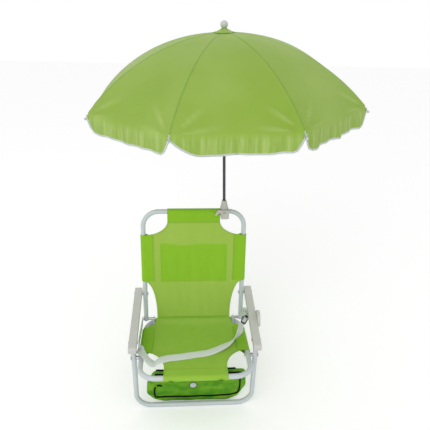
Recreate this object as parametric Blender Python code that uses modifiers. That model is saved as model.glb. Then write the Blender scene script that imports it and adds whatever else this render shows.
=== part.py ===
"""Child's folding beach chair with a clamp-on umbrella, a lap belt and a pouch.

Metres, +X to the sitter's left as seen from the front, +Y to the back, +Z up.
The origin is on the floor under the middle of the front floor bar.
The back, the armrests, both legs, the belt buckle, the clamp lever, the pole, the runner,
the ribs and the stretchers each hang from an empty on the axis they turn about or slide along.
"""

from math import acos, asin, atan2, cos, degrees, hypot, pi, radians, sin, sqrt, tan

import bpy
import bmesh
from mathutils import Matrix, Vector

# Steel tube of the frame
TUBE_RADIUS = 0.0065
TUBE_SIDES = 4
CORNER_STEPS = 7
TUBE_END_LENGTH = 0.0045
TUBE_END_SHARES = ((0.0, 0.55), (0.45, 0.88), (1.0, 1.0))

# Clearances and overruns
GAP = 0.0003
CUT_OVERRUN = 0.004
MERGE = 0.00001

# Seat frame: a closed loop of tube that slopes up to the front
SEAT_SLOPE = radians(9.0)
PIVOT_HEIGHT = 0.168
PIVOT_RISE = 0.015
RAIL_HALF = 0.1375
SEAT_FRONT = 0.254
SEAT_REAR = 0.028
SEAT_FRONT_RADIUS = 0.042
SEAT_REAR_RADIUS = 0.070

# Front leg: an upright U whose tops carry the armrests
LEG_REACH = 0.167
LEG_BESIDE_RAIL = 0.0195
LEG_ABOVE_PIVOT = 0.050
LEG_TOP_OVERRUN = 0.004
LEG_CORNER_RADIUS = 0.042

# Rear leg: a lower, narrower U under the seat
REAR_INSIDE_RAIL = 0.0145
REAR_PIVOT_BACK = 0.025
REAR_PIVOT_DROP = 0.030
REAR_LEAN = radians(15.0)
REAR_CORNER_RADIUS = 0.040

# Back frame
BACK_LENGTH = 0.328
RECLINE = radians(8.2)
BACK_CORNER_RADIUS = 0.043

# Bolts, pins and brackets
BOLT_RADIUS = 0.0025
HEAD_RADIUS = 0.0056
HEAD_HEIGHT = 0.0022
NUT_RADIUS = 0.0045
NUT_HEIGHT = 0.0032
BOLT_SIDES = 10
COLLAR_RADIUS = 0.0042
LEG_SPACER_RADIUS = 0.0052
ROD_RADIUS = 0.003
PIN_HEAD_HEIGHT = 0.0018
BRACKET_THICKNESS = 0.002
BRACKET_INSIDE_RAIL = 0.0235
BRACKET_EAR = 0.008
BRACKET_NECK = 0.014

# Armrests: channels that open downwards
ARM_UP_BACK = 0.082
ARM_WIDTH = 0.020
ARM_WALL = 0.0023
ARM_ROOF = 0.0030
ARM_ABOVE_AXIS = 0.0085
ARM_BELOW_AXIS = 0.0085
ARM_REAR_OVERRUN = 0.020
ARM_FRONT_OVERRUN = 0.029
ARM_END_RADIUS = 0.006
ARM_EDGE = 0.0016
DISC_RADIUS = 0.0225
DISC_HEIGHT = 0.0080
DISC_RIM = 0.0025
DISC_FORWARD = 0.106
DISC_SCREW_RADIUS = 0.0045
DISC_SCREW_HEIGHT = 0.0020

# Sling fabric
FABRIC = 0.0010
SLEEVE_GAP = 0.0006
SLEEVE_STEPS = 9
SLEEVE_TURN = radians(300.0)
SEAT_SAG = 0.006
BACK_SAG = 0.004
TOP_SLEEVE_INSIDE_RAIL = 0.0663
TOP_CUT_BELOW_BAR = 0.025
SIDE_SLEEVE_BELOW_BAR = 0.066
SIDE_SLEEVE_BOTTOM = 0.124
BACK_WAIST_INSIDE_RAIL = 0.0330
BACK_WAIST_UP = 0.020
BACK_SLING_FOOT = 0.009
POCKET_HALF = 0.092
POCKET_BOTTOM = 0.121
POCKET_BELOW_BAR = 0.090
POCKET_BULGE = 0.003
SEAT_SLEEVE_REAR = 0.040
SEAT_SLEEVE_BEHIND_LEG = 0.012
SEAT_WAIST_INSET = 0.003
SEAT_NOTCH_CLEAR = 0.004
FRONT_SLEEVE_INSIDE_RAIL = 0.0590
FRONT_CUT_BEHIND_BAR = 0.029
SLING_COLUMNS = 8

# Belt webbing and buckle; places are shares of the seat's sizes
WEBBING_WIDTH = 0.026
WEBBING = 0.0014
WEBBING_OUT = 0.0012
WEBBING_CLEAR = 0.0009
BUCKLE_SIDE = 0.0024
BUCKLE_FORWARD = 0.0750
BUCKLE_RISE = 0.0346
BUCKLE_TURN = radians(42.0)
BUCKLE_LENGTH = 0.0250
BUCKLE_WIDTH = 0.0310
BUCKLE_HEIGHT = 0.0052
BUCKLE_BAR = 0.0040
BUCKLE_WALL = 0.0013
BUCKLE_EDGE = 0.0008
BUCKLE_TAB = 0.0070
BUCKLE_FOLD_DROP = 0.0166
BUCKLE_FOLD_OUT = 0.0170
BELT_SIDE_SHARES = (
    (0.03, -0.20, 0.00),
    (0.34, 0.00, 0.00),
    (0.62, 0.10, 0.00),
    (0.80, 0.20, 0.35),
)
BELT_OVER_SHARES = ((-0.25, 0.95, 0.20, 0.35), (0.25, 1.04, -0.20, 0.0))
BELT_DROOP_SHARES = ((-0.84, 1.11, 0.60), (-0.745, 1.155, 0.66), (-0.66, 1.16, 0.30))
BELT_LAY_SHARES = (
    (-0.51, 1.12, 0.10),
    (-0.33, 1.085, 0.15),
    (-0.02, 1.02, 0.17),
    (0.29, 0.96, 0.30),
    (0.62, 0.81, 0.60),
    (0.83, 0.65, 0.60),
)
BELT_RISE_SHARES = ((0.905, 0.595, 0.16), (0.925, 0.575, 0.40))
BELT_END_SHARES = ((0.0, -0.5), (0.03, 1.2))
BUCKLE_ENTRY_SHARE = 0.66
BUCKLE_FOLD_SHARES = (0.69, 0.74)

# Pouch behind the front floor bar
POUCH_CENTRE = 0.005
POUCH_INSIDE_LEG = 0.020
POUCH_FRONT = 0.0095
POUCH_DEPTH = 0.037
POUCH_BOTTOM = 0.005
POUCH_HEIGHT = 0.091
POUCH_CORNER = 0.030
POUCH_EDGE = 0.009
SNAP_RADIUS = 0.0095
SNAP_HEIGHT = 0.0026
SNAP_SIDE = -0.004
SNAP_UP = 0.066
LOOP_HALF = 0.060
LOOP_WIDTH = 0.011
LOOP_TURN = radians(28.0)
LOOP_HOLD = 0.010
LOOP_INSET = 0.010

# Clamp on the top bar of the back; heights are along the pole, from the bar's centre
POLE_INSIDE_RAIL = 0.0550
POLE_LEAN = radians(-2.0)
CLAMP_INNER = 0.0100
CLAMP_OUTER = 0.0120
CLAMP_FRONT = 0.0164
CLAMP_REAR = 0.0150
CLAMP_BOTTOM = 0.0175
CLAMP_SHOULDER = 0.0095
CLAMP_EDGE = 0.0025
NECK_FOOT_RADIUS = 0.0108
NECK_TOP_RADIUS = 0.0062
NECK_TOP = 0.033
SOCKET_FLOOR = 0.0115
SLOT_HALF = 0.0050
SLOT_RADIUS = 0.0018
SLOT_DEPTH = 0.0030
SLOT_UP = 0.0030
LEVER_HUB_RADIUS = 0.0042
LEVER_WIDTH = 0.0040
LEVER_CLEAR = 0.0018
LEVER_LENGTH = 0.0125
LEVER_TIP_RADIUS = 0.0028
LEVER_SLANT = radians(48.0)
LEVER_UP = 0.0060
EAR_WALL = 0.0018
EAR_SINK = 0.0050
STUD_RADIUS = 0.0018

# Umbrella
RIB_COUNT = 8
RIM_HEIGHT = 0.303
RIM_RADIUS = 0.3286
APEX_HEIGHT = 0.4557
CROWN_DROP = 0.0047
RIB_BEND = radians(46.0)
RIB_RADIUS = 0.0014
RIB_STEPS = 9
TIP_OVERRUN = 0.012
TIP_BALL = 0.0026
HINGE_RADIUS = 0.0090
HINGE_OVERRUN = 0.0010
ATTACH_ALONG = 0.155
KNEE_DROP = 0.0010
STRETCHER_RADIUS = 0.0012
POLE_RADIUS = 0.0038
CROWN_RADIUS = 0.0071
CROWN_HEIGHT = 0.0080
RUNNER_RADIUS = 0.0076
RUNNER_ABOVE = 0.0035
RUNNER_HEIGHT = 0.0200
RUNNER_LIP = 0.0022
FINIAL_BALL = 0.0088
FINIAL_NECK = 0.0048
FINIAL_SKIRT = 0.0125
FINIAL_HEIGHT = 0.027
SKIRT_HEIGHT = 0.0022
CANOPY = 0.0007
CANOPY_START = 0.0100
PANEL_SAG = 0.0020
VALANCE = 0.035
VALANCE_NOTCH = 0.006
VALANCE_RISE_SHARE = 0.36
SEAM_GAP = 0.0004
GORE_SHARES = (0.03, 0.13, 0.30, 0.60, 1.0)
TIP_BALL_SHARES = ((0.0, 0.6), (0.5, 0.87), (1.0, 1.0), (1.5, 0.87), (2.0, 0.3))

COLLECTION = "umbrella_chair"
CUTTERS = "cutters"

X_AXIS = Vector((1.0, 0.0, 0.0))
Y_AXIS = Vector((0.0, 1.0, 0.0))
Z_AXIS = Vector((0.0, 0.0, 1.0))

# Sizes and places that follow from the ones above
LEG_HALF = RAIL_HALF + LEG_BESIDE_RAIL
REAR_HALF = RAIL_HALF - REAR_INSIDE_RAIL
BRACKET_INNER = RAIL_HALF - BRACKET_INSIDE_RAIL
TOP_SLEEVE_HALF = RAIL_HALF - TOP_SLEEVE_INSIDE_RAIL
FRONT_SLEEVE_HALF = RAIL_HALF - FRONT_SLEEVE_INSIDE_RAIL
BACK_WAIST_HALF = RAIL_HALF - BACK_WAIST_INSIDE_RAIL
POLE_SIDE = RAIL_HALF - POLE_INSIDE_RAIL
POUCH_HALF = LEG_HALF - POUCH_INSIDE_LEG
TOP_CUT_START = BACK_LENGTH - TOP_CUT_BELOW_BAR
SIDE_SLEEVE_TOP = BACK_LENGTH - SIDE_SLEEVE_BELOW_BAR
POCKET_TOP = BACK_LENGTH - POCKET_BELOW_BAR
SEAT_SLEEVE_FRONT = LEG_REACH - SEAT_SLEEVE_BEHIND_LEG
FRONT_CUT_END = SEAT_FRONT - FRONT_CUT_BEHIND_BAR
SEAT_FORWARD = Vector((0.0, -cos(SEAT_SLOPE), sin(SEAT_SLOPE)))
SEAT_UP = Vector((0.0, sin(SEAT_SLOPE), cos(SEAT_SLOPE)))
BACK_UP = Vector((0.0, sin(RECLINE), cos(RECLINE)))
BACK_FORWARD = Vector((0.0, -cos(RECLINE), sin(RECLINE)))
PIVOT_BACK = LEG_REACH * cos(SEAT_SLOPE) + PIVOT_RISE * sin(SEAT_SLOPE)
BACK_PIVOT = Vector((0.0, PIVOT_BACK, PIVOT_HEIGHT))


def seat_point(side, forward, rise):
    """A point by its place on the seat: across, forward of the back pivot and above it."""
    return BACK_PIVOT + X_AXIS * side + SEAT_FORWARD * forward + SEAT_UP * rise


def back_point(side, up, front):
    """A point by its place on the back: across, up from the back pivot and in front of it."""
    return BACK_PIVOT + X_AXIS * side + BACK_UP * up + BACK_FORWARD * front


LEG_PIVOT = seat_point(0.0, LEG_REACH, -PIVOT_RISE)
LEG_PIN = LEG_PIVOT + Z_AXIS * LEG_ABOVE_PIVOT
REAR_PIVOT = seat_point(0.0, -REAR_PIVOT_BACK, -REAR_PIVOT_DROP)
ARM_PIVOT = back_point(0.0, ARM_UP_BACK, 0.0)
ARM_ALONG = (LEG_PIN - ARM_PIVOT).normalized()
ARM_UP = ARM_ALONG.cross(X_AXIS).normalized()
ARM_SPAN = (LEG_PIN - ARM_PIVOT).length
TOP_BAR = back_point(0.0, BACK_LENGTH, 0.0)
SLEEVE_RADIUS = TUBE_RADIUS + SLEEVE_GAP + FABRIC / 2
FACET_TURN = pi / (2 * TUBE_SIDES + 4)
FOOT_HEIGHT = TUBE_RADIUS * cos(FACET_TURN)


def clear_scene():
    for obj in list(bpy.data.objects):
        bpy.data.objects.remove(obj, do_unlink=True)
    for name in (COLLECTION, CUTTERS):
        bpy.context.scene.collection.children.link(bpy.data.collections.new(name))


def material(name, colour, roughness, metallic=0.0):
    made = bpy.data.materials.new(name)
    made.use_nodes = True
    shader = made.node_tree.nodes["Principled BSDF"]
    shader.inputs["Base Color"].default_value = (*colour, 1.0)
    shader.inputs["Roughness"].default_value = roughness
    shader.inputs["Metallic"].default_value = metallic
    return made


def make_materials():
    return {
        "enamel": material("white_enamel", (0.60, 0.66, 0.68), 0.35),
        "steel": material("zinc_steel", (0.55, 0.56, 0.57), 0.35, 1.0),
        "sling": material("green_sling", (0.33, 0.55, 0.06), 0.8),
        "canopy": material("green_canopy", (0.32, 0.52, 0.06), 0.6),
        "pouch": material("green_pouch", (0.16, 0.40, 0.03), 0.7),
        "webbing": material("white_webbing", (0.62, 0.70, 0.64), 0.8),
        "arm": material("grey_arm_plastic", (0.62, 0.62, 0.60), 0.5),
        "clamp": material("grey_clamp_plastic", (0.45, 0.45, 0.42), 0.45),
        "black": material("black_plastic", (0.02, 0.02, 0.02), 0.4),
        "pole": material("dark_steel", (0.10, 0.10, 0.11), 0.35, 1.0),
        "nylon": material("white_nylon", (0.75, 0.78, 0.76), 0.4),
    }


def link(obj, cutter=False):
    bpy.data.collections[CUTTERS if cutter else COLLECTION].objects.link(obj)
    if cutter:
        obj.hide_render = True
        obj.display_type = "WIRE"
    return obj


def finish(obj, finish_material):
    """Gives a piece its material and smooth shading."""
    obj.data.materials.clear()
    obj.data.materials.append(finish_material)
    if obj.type == "MESH":
        obj.data.shade_smooth()
    return obj


def mesh_object(name, build, cutter=False):
    """A mesh object from a function that fills an empty bmesh."""
    work = bmesh.new()
    build(work)
    mesh = bpy.data.meshes.new(name)
    work.to_mesh(mesh)
    work.free()
    return link(bpy.data.objects.new(name, mesh), cutter)


def axes_matrix(origin, x, y, z):
    """A matrix that carries local X, Y and Z to three world directions at a point."""
    rows = Matrix((x, y, z)).transposed().to_4x4()
    return Matrix.Translation(origin) @ rows


def along_matrix(origin, direction):
    """A matrix that carries local Z to a direction at a point."""
    turn = Z_AXIS.rotation_difference(direction.normalized()).to_matrix().to_4x4()
    return Matrix.Translation(origin) @ turn


def make_pivot(name, world, parent=None):
    """An empty on a joint's axis. Its world matrix is kept beside it."""
    empty = bpy.data.objects.new(name, None)
    link(empty)
    empty.empty_display_size = TUBE_RADIUS
    if parent:
        empty.parent = parent[0]
        empty.matrix_parent_inverse = parent[1].inverted()
    empty.matrix_basis = world
    return empty, world


def attach(obj, pivot):
    """Hangs a piece modelled in world space from a pivot, with its cutters."""
    obj.data.transform(pivot[1].inverted())
    obj.parent = pivot[0]
    for modifier in obj.modifiers:
        if modifier.type == "BOOLEAN" and modifier.object.parent is None:
            attach(modifier.object, pivot)
    return obj


def hang(obj, pivot):
    """Hangs a piece modelled in its pivot's own space."""
    obj.parent = pivot[0]
    return obj


def solid_from_curve(obj):
    """The same piece as a mesh with its caps welded, so that it can be cut or joined."""
    bpy.context.view_layer.update()
    mesh = bpy.data.meshes.new_from_object(obj.evaluated_get(bpy.context.evaluated_depsgraph_get()))
    work = bmesh.new()
    work.from_mesh(mesh)
    bmesh.ops.remove_doubles(work, verts=work.verts, dist=MERGE)
    bmesh.ops.recalc_face_normals(work, faces=work.faces)
    work.to_mesh(mesh)
    work.free()
    name = obj.name
    world = obj.matrix_world.copy()
    users = list(obj.users_collection)
    bpy.data.objects.remove(obj, do_unlink=True)
    mesh.name = name
    solid = bpy.data.objects.new(name, mesh)
    solid.matrix_world = world
    for collection in users:
        collection.objects.link(solid)
    return solid


def fillet(corners, radii, closed=False):
    """The points of a path with rounded corners."""
    points = []
    count = len(corners)
    for i, corner in enumerate(corners):
        if not closed and i in (0, count - 1):
            points.append(corner.copy())
            continue
        before = (corners[i - 1] - corner).normalized()
        after = (corners[(i + 1) % count] - corner).normalized()
        half = acos(before.dot(after)) / 2
        centre = corner + (before + after).normalized() * (radii[i] / sin(half))
        first = corner + before * (radii[i] / tan(half)) - centre
        last = corner + after * (radii[i] / tan(half)) - centre
        turn = first.angle(last)
        axis = first.cross(last).normalized()
        for step in range(CORNER_STEPS + 1):
            points.append(centre + Matrix.Rotation(turn * step / CORNER_STEPS, 3, axis) @ first)
    return points


def rounded_ends(points, radius):
    """Points and radii of a path whose two ends are drawn in like a crimped tube's."""
    start = (points[1] - points[0]).normalized() * TUBE_END_LENGTH
    stop = (points[-2] - points[-1]).normalized() * TUBE_END_LENGTH
    head = [(points[0] + start * along, radius * share) for along, share in TUBE_END_SHARES]
    tail = [(points[-1] + stop * along, radius * share) for along, share in reversed(TUBE_END_SHARES)]
    middle = [(point, radius) for point in points[1:-1]]
    return head + middle + tail


def tube(name, path, resolution=TUBE_SIDES, closed=False, tilt=0.0):
    """A round tube along points with a radius at each, as a curve with a bevel and caps."""
    curve = bpy.data.curves.new(name, "CURVE")
    curve.dimensions = "3D"
    curve.bevel_depth = 1.0
    curve.bevel_resolution = resolution
    curve.use_fill_caps = True
    spline = curve.splines.new("POLY")
    spline.points.add(len(path) - 1)
    for spot, (point, radius) in zip(spline.points, path):
        spot.co = (*point, 1.0)
        spot.radius = radius
        spot.tilt = tilt
    spline.use_cyclic_u = closed
    return link(bpy.data.objects.new(name, curve))


def even(points, radius):
    return [(point, radius) for point in points]


def turned(name, profile, origin, direction, sides=BOLT_SIDES):
    """A turned piece: (radius, height) pairs from the top of its outer side to the bottom."""

    def outline(work):
        corners = [work.verts.new((radius, 0.0, height)) for radius, height in profile]
        for upper, lower in zip(corners, corners[1:]):
            work.edges.new((upper, lower))

    obj = mesh_object(name, outline)
    screw = obj.modifiers.new("turn", "SCREW")
    screw.axis = "Z"
    screw.steps = sides
    screw.render_steps = sides
    screw.use_merge_vertices = True
    screw.merge_threshold = MERGE
    solid = solid_from_curve(obj)
    solid.data.transform(along_matrix(origin, direction))
    return solid


def plate(name, outline, thickness, world):
    """A flat piece from its outline, centred on its own plane."""
    curve = bpy.data.curves.new(name, "CURVE")
    curve.dimensions = "2D"
    curve.fill_mode = "BOTH"
    curve.extrude = thickness / 2
    spline = curve.splines.new("POLY")
    spline.points.add(len(outline) - 1)
    for spot, (x, y) in zip(spline.points, outline):
        spot.co = (x, y, 0.0, 1.0)
    spline.use_cyclic_u = True
    solid = solid_from_curve(link(bpy.data.objects.new(name, curve)))
    solid.data.transform(world)
    return solid


def box(name, low, high, world, cutter=False):
    """A box between two corners in a frame of its own."""

    def cube(work):
        size = Vector(high) - Vector(low)
        centre = (Vector(high) + Vector(low)) / 2
        stretch = Matrix.Diagonal((*size, 1.0))
        bmesh.ops.create_cube(work, size=1.0, matrix=world @ Matrix.Translation(centre) @ stretch)

    return mesh_object(name, cube, cutter)


def rod_cutter(name, start, end, radius, sides=BOLT_SIDES):
    """A round cutter between two points."""

    def cone(work):
        world = along_matrix((start + end) / 2, end - start)
        bmesh.ops.create_cone(
            work,
            cap_ends=True,
            segments=sides,
            radius1=radius,
            radius2=radius,
            depth=(end - start).length,
            matrix=world,
        )

    return mesh_object(name, cone, cutter=True)


def combine(obj, other, operation):
    """A live Boolean with a second object, which is kept among the cutters."""
    if other.name not in bpy.data.collections[CUTTERS].objects:
        bpy.data.collections[COLLECTION].objects.unlink(other)
        link(other, cutter=True)
    modifier = obj.modifiers.new(other.name, "BOOLEAN")
    modifier.operation = operation
    modifier.object = other
    modifier.solver = "EXACT"
    return obj


def drill(obj, centre, direction, reach, radius):
    """A round hole through a piece."""
    half = direction.normalized() * reach
    return combine(obj, rod_cutter(obj.name + "_hole", centre - half, centre + half, radius), "DIFFERENCE")


def bevel(obj, width, angle=radians(40.0)):
    """Rounded edges, applied before any cut."""
    modifier = obj.modifiers.new("edges", "BEVEL")
    modifier.width = width
    modifier.segments = 2
    modifier.limit_method = "ANGLE"
    modifier.angle_limit = angle
    return obj


def sheet(name, rows, thickness, sheet_material):
    """A thin closed piece from rows of points, in which None marks where there is no cloth."""

    def grid(work):
        lines = [[work.verts.new(point) if point else None for point in row] for row in rows]
        for upper, lower in zip(lines, lines[1:]):
            for i in range(len(upper) - 1):
                corners = (upper[i], upper[i + 1], lower[i + 1], lower[i])
                if None not in corners:
                    work.faces.new(corners)
        loose = [vert for vert in work.verts if not vert.link_faces]
        bmesh.ops.delete(work, geom=loose, context="VERTS")

    obj = mesh_object(name, grid)
    solidify = obj.modifiers.new("thickness", "SOLIDIFY")
    solidify.thickness = thickness
    solidify.offset = 0.0
    return finish(obj, sheet_material)


def arc(centre, radius, start, stop, steps):
    """Points of a flat arc, as pairs."""
    turn = [start + (stop - start) * i / steps for i in range(steps + 1)]
    return [(centre[0] + radius * cos(angle), centre[1] + radius * sin(angle)) for angle in turn]


def smooth(share):
    """Eases 0 to 1."""
    held = min(max(share, 0.0), 1.0)
    return held * held * (3.0 - 2.0 * held)


# Frame


def seat_frame(finishes):
    rise = -PIVOT_RISE
    corners = [
        seat_point(RAIL_HALF, SEAT_FRONT, rise),
        seat_point(-RAIL_HALF, SEAT_FRONT, rise),
        seat_point(-RAIL_HALF, -SEAT_REAR, rise),
        seat_point(RAIL_HALF, -SEAT_REAR, rise),
    ]
    radii = [SEAT_FRONT_RADIUS, SEAT_FRONT_RADIUS, SEAT_REAR_RADIUS, SEAT_REAR_RADIUS]
    path = fillet(corners, radii, closed=True)
    frame = solid_from_curve(tube("seat_frame", even(path, TUBE_RADIUS), closed=True))
    for side in (-1, 1):
        centre = LEG_PIVOT + X_AXIS * side * RAIL_HALF
        drill(frame, centre, X_AXIS, TUBE_RADIUS + CUT_OVERRUN, BOLT_RADIUS + GAP)
    return finish(frame, finishes["enamel"]), path


def pivot_bracket(name, side, seat_path, finishes):
    """A welded ear that carries the back's pivot above the rail and the rear leg's below it."""
    rear = (-REAR_PIVOT_BACK, -REAR_PIVOT_DROP)
    tube_bottom = -PIVOT_RISE - TUBE_RADIUS
    outline = arc((0.0, 0.0), BRACKET_EAR, pi, 0.0, 6)
    outline.append((BRACKET_NECK, -BRACKET_EAR))
    outline.append((BRACKET_NECK, tube_bottom - BRACKET_EAR))
    outline += arc(rear, BRACKET_EAR, radians(-60.0), radians(-240.0), 6)
    outline.append((-BRACKET_EAR, tube_bottom - BRACKET_THICKNESS))
    middle = side * (BRACKET_INNER + BRACKET_THICKNESS / 2)
    world = axes_matrix(BACK_PIVOT + X_AXIS * middle, SEAT_FORWARD, SEAT_UP, -X_AXIS)
    bracket = plate(name, outline, BRACKET_THICKNESS, world)
    weld = tube(name + "_tube", even(seat_path, TUBE_RADIUS + GAP), closed=True)
    combine(bracket, solid_from_curve(weld), "DIFFERENCE")
    drill(bracket, BACK_PIVOT + X_AXIS * middle, X_AXIS, CUT_OVERRUN, BOLT_RADIUS + GAP)
    drill(bracket, REAR_PIVOT + X_AXIS * middle, X_AXIS, CUT_OVERRUN, ROD_RADIUS + GAP)
    return finish(bracket, finishes["enamel"])


def front_leg(finishes):
    """The front U, with an open saddle in each top that an armrest's pin sits in."""
    top = LEG_PIN.z + LEG_TOP_OVERRUN
    corners = [
        Vector((LEG_HALF, 0.0, top)),
        Vector((LEG_HALF, 0.0, FOOT_HEIGHT)),
        Vector((-LEG_HALF, 0.0, FOOT_HEIGHT)),
        Vector((-LEG_HALF, 0.0, top)),
    ]
    path = fillet(corners, [0.0, LEG_CORNER_RADIUS, LEG_CORNER_RADIUS, 0.0])
    leg = solid_from_curve(tube("front_leg", rounded_ends(path, TUBE_RADIUS), tilt=FACET_TURN))
    reach = TUBE_RADIUS + CUT_OVERRUN
    saddle = BOLT_RADIUS + GAP
    for side in (-1, 1):
        drill(leg, LEG_PIVOT + X_AXIS * side * LEG_HALF, X_AXIS, reach, BOLT_RADIUS + GAP)
        world = Matrix.Translation(LEG_PIN + X_AXIS * side * LEG_HALF)
        low = (-reach, -reach, -saddle)
        high = (reach, saddle, LEG_TOP_OVERRUN + CUT_OVERRUN)
        combine(leg, box("leg_saddle", low, high, world, cutter=True), "DIFFERENCE")
    return finish(leg, finishes["enamel"])


def rear_leg(finishes):
    down = Vector((0.0, sin(REAR_LEAN), -cos(REAR_LEAN)))
    length = (REAR_PIVOT.z - FOOT_HEIGHT) / cos(REAR_LEAN)
    corners = [
        REAR_PIVOT + X_AXIS * REAR_HALF - down * TUBE_RADIUS,
        REAR_PIVOT + X_AXIS * REAR_HALF + down * length,
        REAR_PIVOT - X_AXIS * REAR_HALF + down * length,
        REAR_PIVOT - X_AXIS * REAR_HALF - down * TUBE_RADIUS,
    ]
    path = fillet(corners, [0.0, REAR_CORNER_RADIUS, REAR_CORNER_RADIUS, 0.0])
    leg = solid_from_curve(tube("rear_leg", rounded_ends(path, TUBE_RADIUS)))
    for side in (-1, 1):
        centre = REAR_PIVOT + X_AXIS * side * REAR_HALF
        drill(leg, centre, X_AXIS, TUBE_RADIUS + CUT_OVERRUN, ROD_RADIUS + GAP)
    return finish(leg, finishes["enamel"])


def back_frame(finishes):
    corners = [
        back_point(RAIL_HALF, -TUBE_RADIUS, 0.0),
        back_point(RAIL_HALF, BACK_LENGTH, 0.0),
        back_point(-RAIL_HALF, BACK_LENGTH, 0.0),
        back_point(-RAIL_HALF, -TUBE_RADIUS, 0.0),
    ]
    path = fillet(corners, [0.0, BACK_CORNER_RADIUS, BACK_CORNER_RADIUS, 0.0])
    frame = solid_from_curve(tube("back_frame", rounded_ends(path, TUBE_RADIUS)))
    for side in (-1, 1):
        for point in (BACK_PIVOT, ARM_PIVOT):
            centre = point + X_AXIS * side * RAIL_HALF
            drill(frame, centre, X_AXIS, TUBE_RADIUS + CUT_OVERRUN, BOLT_RADIUS + GAP)
    return finish(frame, finishes["enamel"])


# Bolts


def domed_head(radius, height, top):
    """The profile of a low domed head whose top is at a height."""
    return [(0.0, top), (radius * 0.7, top - height * 0.2), (radius, top - height * 0.65), (radius, top - height)]


def back_bolt(name, side, finishes):
    """Joins a bracket to the back tube, with a collar that fills the space between them."""
    outer = RAIL_HALF + TUBE_RADIUS + GAP
    inner = BRACKET_INNER - GAP
    collar_end = RAIL_HALF - TUBE_RADIUS - GAP
    collar_start = BRACKET_INNER + BRACKET_THICKNESS + GAP
    profile = domed_head(HEAD_RADIUS, HEAD_HEIGHT, outer + HEAD_HEIGHT)
    profile += [
        (BOLT_RADIUS, outer),
        (BOLT_RADIUS, collar_end),
        (COLLAR_RADIUS, collar_end),
        (COLLAR_RADIUS, collar_start),
        (BOLT_RADIUS, collar_start),
        (BOLT_RADIUS, inner),
        (NUT_RADIUS, inner),
        (NUT_RADIUS, inner - NUT_HEIGHT),
        (0.0, inner - NUT_HEIGHT),
    ]
    return finish(turned(name, profile, BACK_PIVOT, X_AXIS * side), finishes["steel"])


def leg_bolt(name, side, finishes):
    """Joins a seat rail to the front leg, with the pale spacer between them."""
    outer = LEG_HALF + TUBE_RADIUS + GAP
    inner = RAIL_HALF - TUBE_RADIUS - GAP
    spacer_end = LEG_HALF - TUBE_RADIUS - GAP
    spacer_start = RAIL_HALF + TUBE_RADIUS + GAP
    profile = domed_head(HEAD_RADIUS, HEAD_HEIGHT, outer + HEAD_HEIGHT)
    profile += [
        (BOLT_RADIUS, outer),
        (BOLT_RADIUS, spacer_end),
        (LEG_SPACER_RADIUS, spacer_end),
        (LEG_SPACER_RADIUS, spacer_start),
        (BOLT_RADIUS, spacer_start),
        (BOLT_RADIUS, inner),
        (NUT_RADIUS, inner),
        (NUT_RADIUS, inner - HEAD_HEIGHT),
        (0.0, inner - HEAD_HEIGHT),
    ]
    return finish(turned(name, profile, LEG_PIVOT, X_AXIS * side), finishes["steel"])


def arm_bolt(name, side, finishes):
    """Joins the back tube to an armrest's two walls."""
    outer = LEG_HALF + ARM_WIDTH / 2 + GAP
    inner = RAIL_HALF - TUBE_RADIUS - GAP
    collar_end = LEG_HALF - ARM_WIDTH / 2 - GAP
    collar_start = RAIL_HALF + TUBE_RADIUS + GAP
    profile = domed_head(HEAD_RADIUS, PIN_HEAD_HEIGHT, outer + PIN_HEAD_HEIGHT)
    profile += [
        (BOLT_RADIUS, outer),
        (BOLT_RADIUS, collar_end),
        (COLLAR_RADIUS, collar_end),
        (COLLAR_RADIUS, collar_start),
        (BOLT_RADIUS, collar_start),
        (BOLT_RADIUS, inner),
        (NUT_RADIUS, inner),
        (NUT_RADIUS, inner - HEAD_HEIGHT),
        (0.0, inner - HEAD_HEIGHT),
    ]
    return finish(turned(name, profile, ARM_PIVOT, X_AXIS * side), finishes["steel"])


def arm_pin(name, side, finishes):
    """The pin through an armrest's two walls, which sits in the saddle of a leg top."""
    outer = LEG_HALF + ARM_WIDTH / 2 + GAP
    inner = LEG_HALF - ARM_WIDTH / 2 - GAP
    profile = domed_head(COLLAR_RADIUS, PIN_HEAD_HEIGHT, outer + PIN_HEAD_HEIGHT)
    profile += [
        (BOLT_RADIUS, outer),
        (BOLT_RADIUS, inner),
        (COLLAR_RADIUS, inner),
        (COLLAR_RADIUS, inner - PIN_HEAD_HEIGHT),
        (0.0, inner - PIN_HEAD_HEIGHT),
    ]
    return finish(turned(name, profile, LEG_PIN, X_AXIS * side), finishes["steel"])


def rear_leg_rod(finishes):
    """The cross rod that the rear leg swings on, with a head at each end."""
    outer = REAR_HALF + TUBE_RADIUS + GAP
    profile = domed_head(HEAD_RADIUS, HEAD_HEIGHT, outer + HEAD_HEIGHT)
    profile += [(ROD_RADIUS, outer), (ROD_RADIUS, -outer)]
    profile += [(radius, -height) for radius, height in reversed(profile[:4])]
    return finish(turned("rear_leg_rod", profile, REAR_PIVOT, X_AXIS), finishes["steel"])


# Armrests


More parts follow.
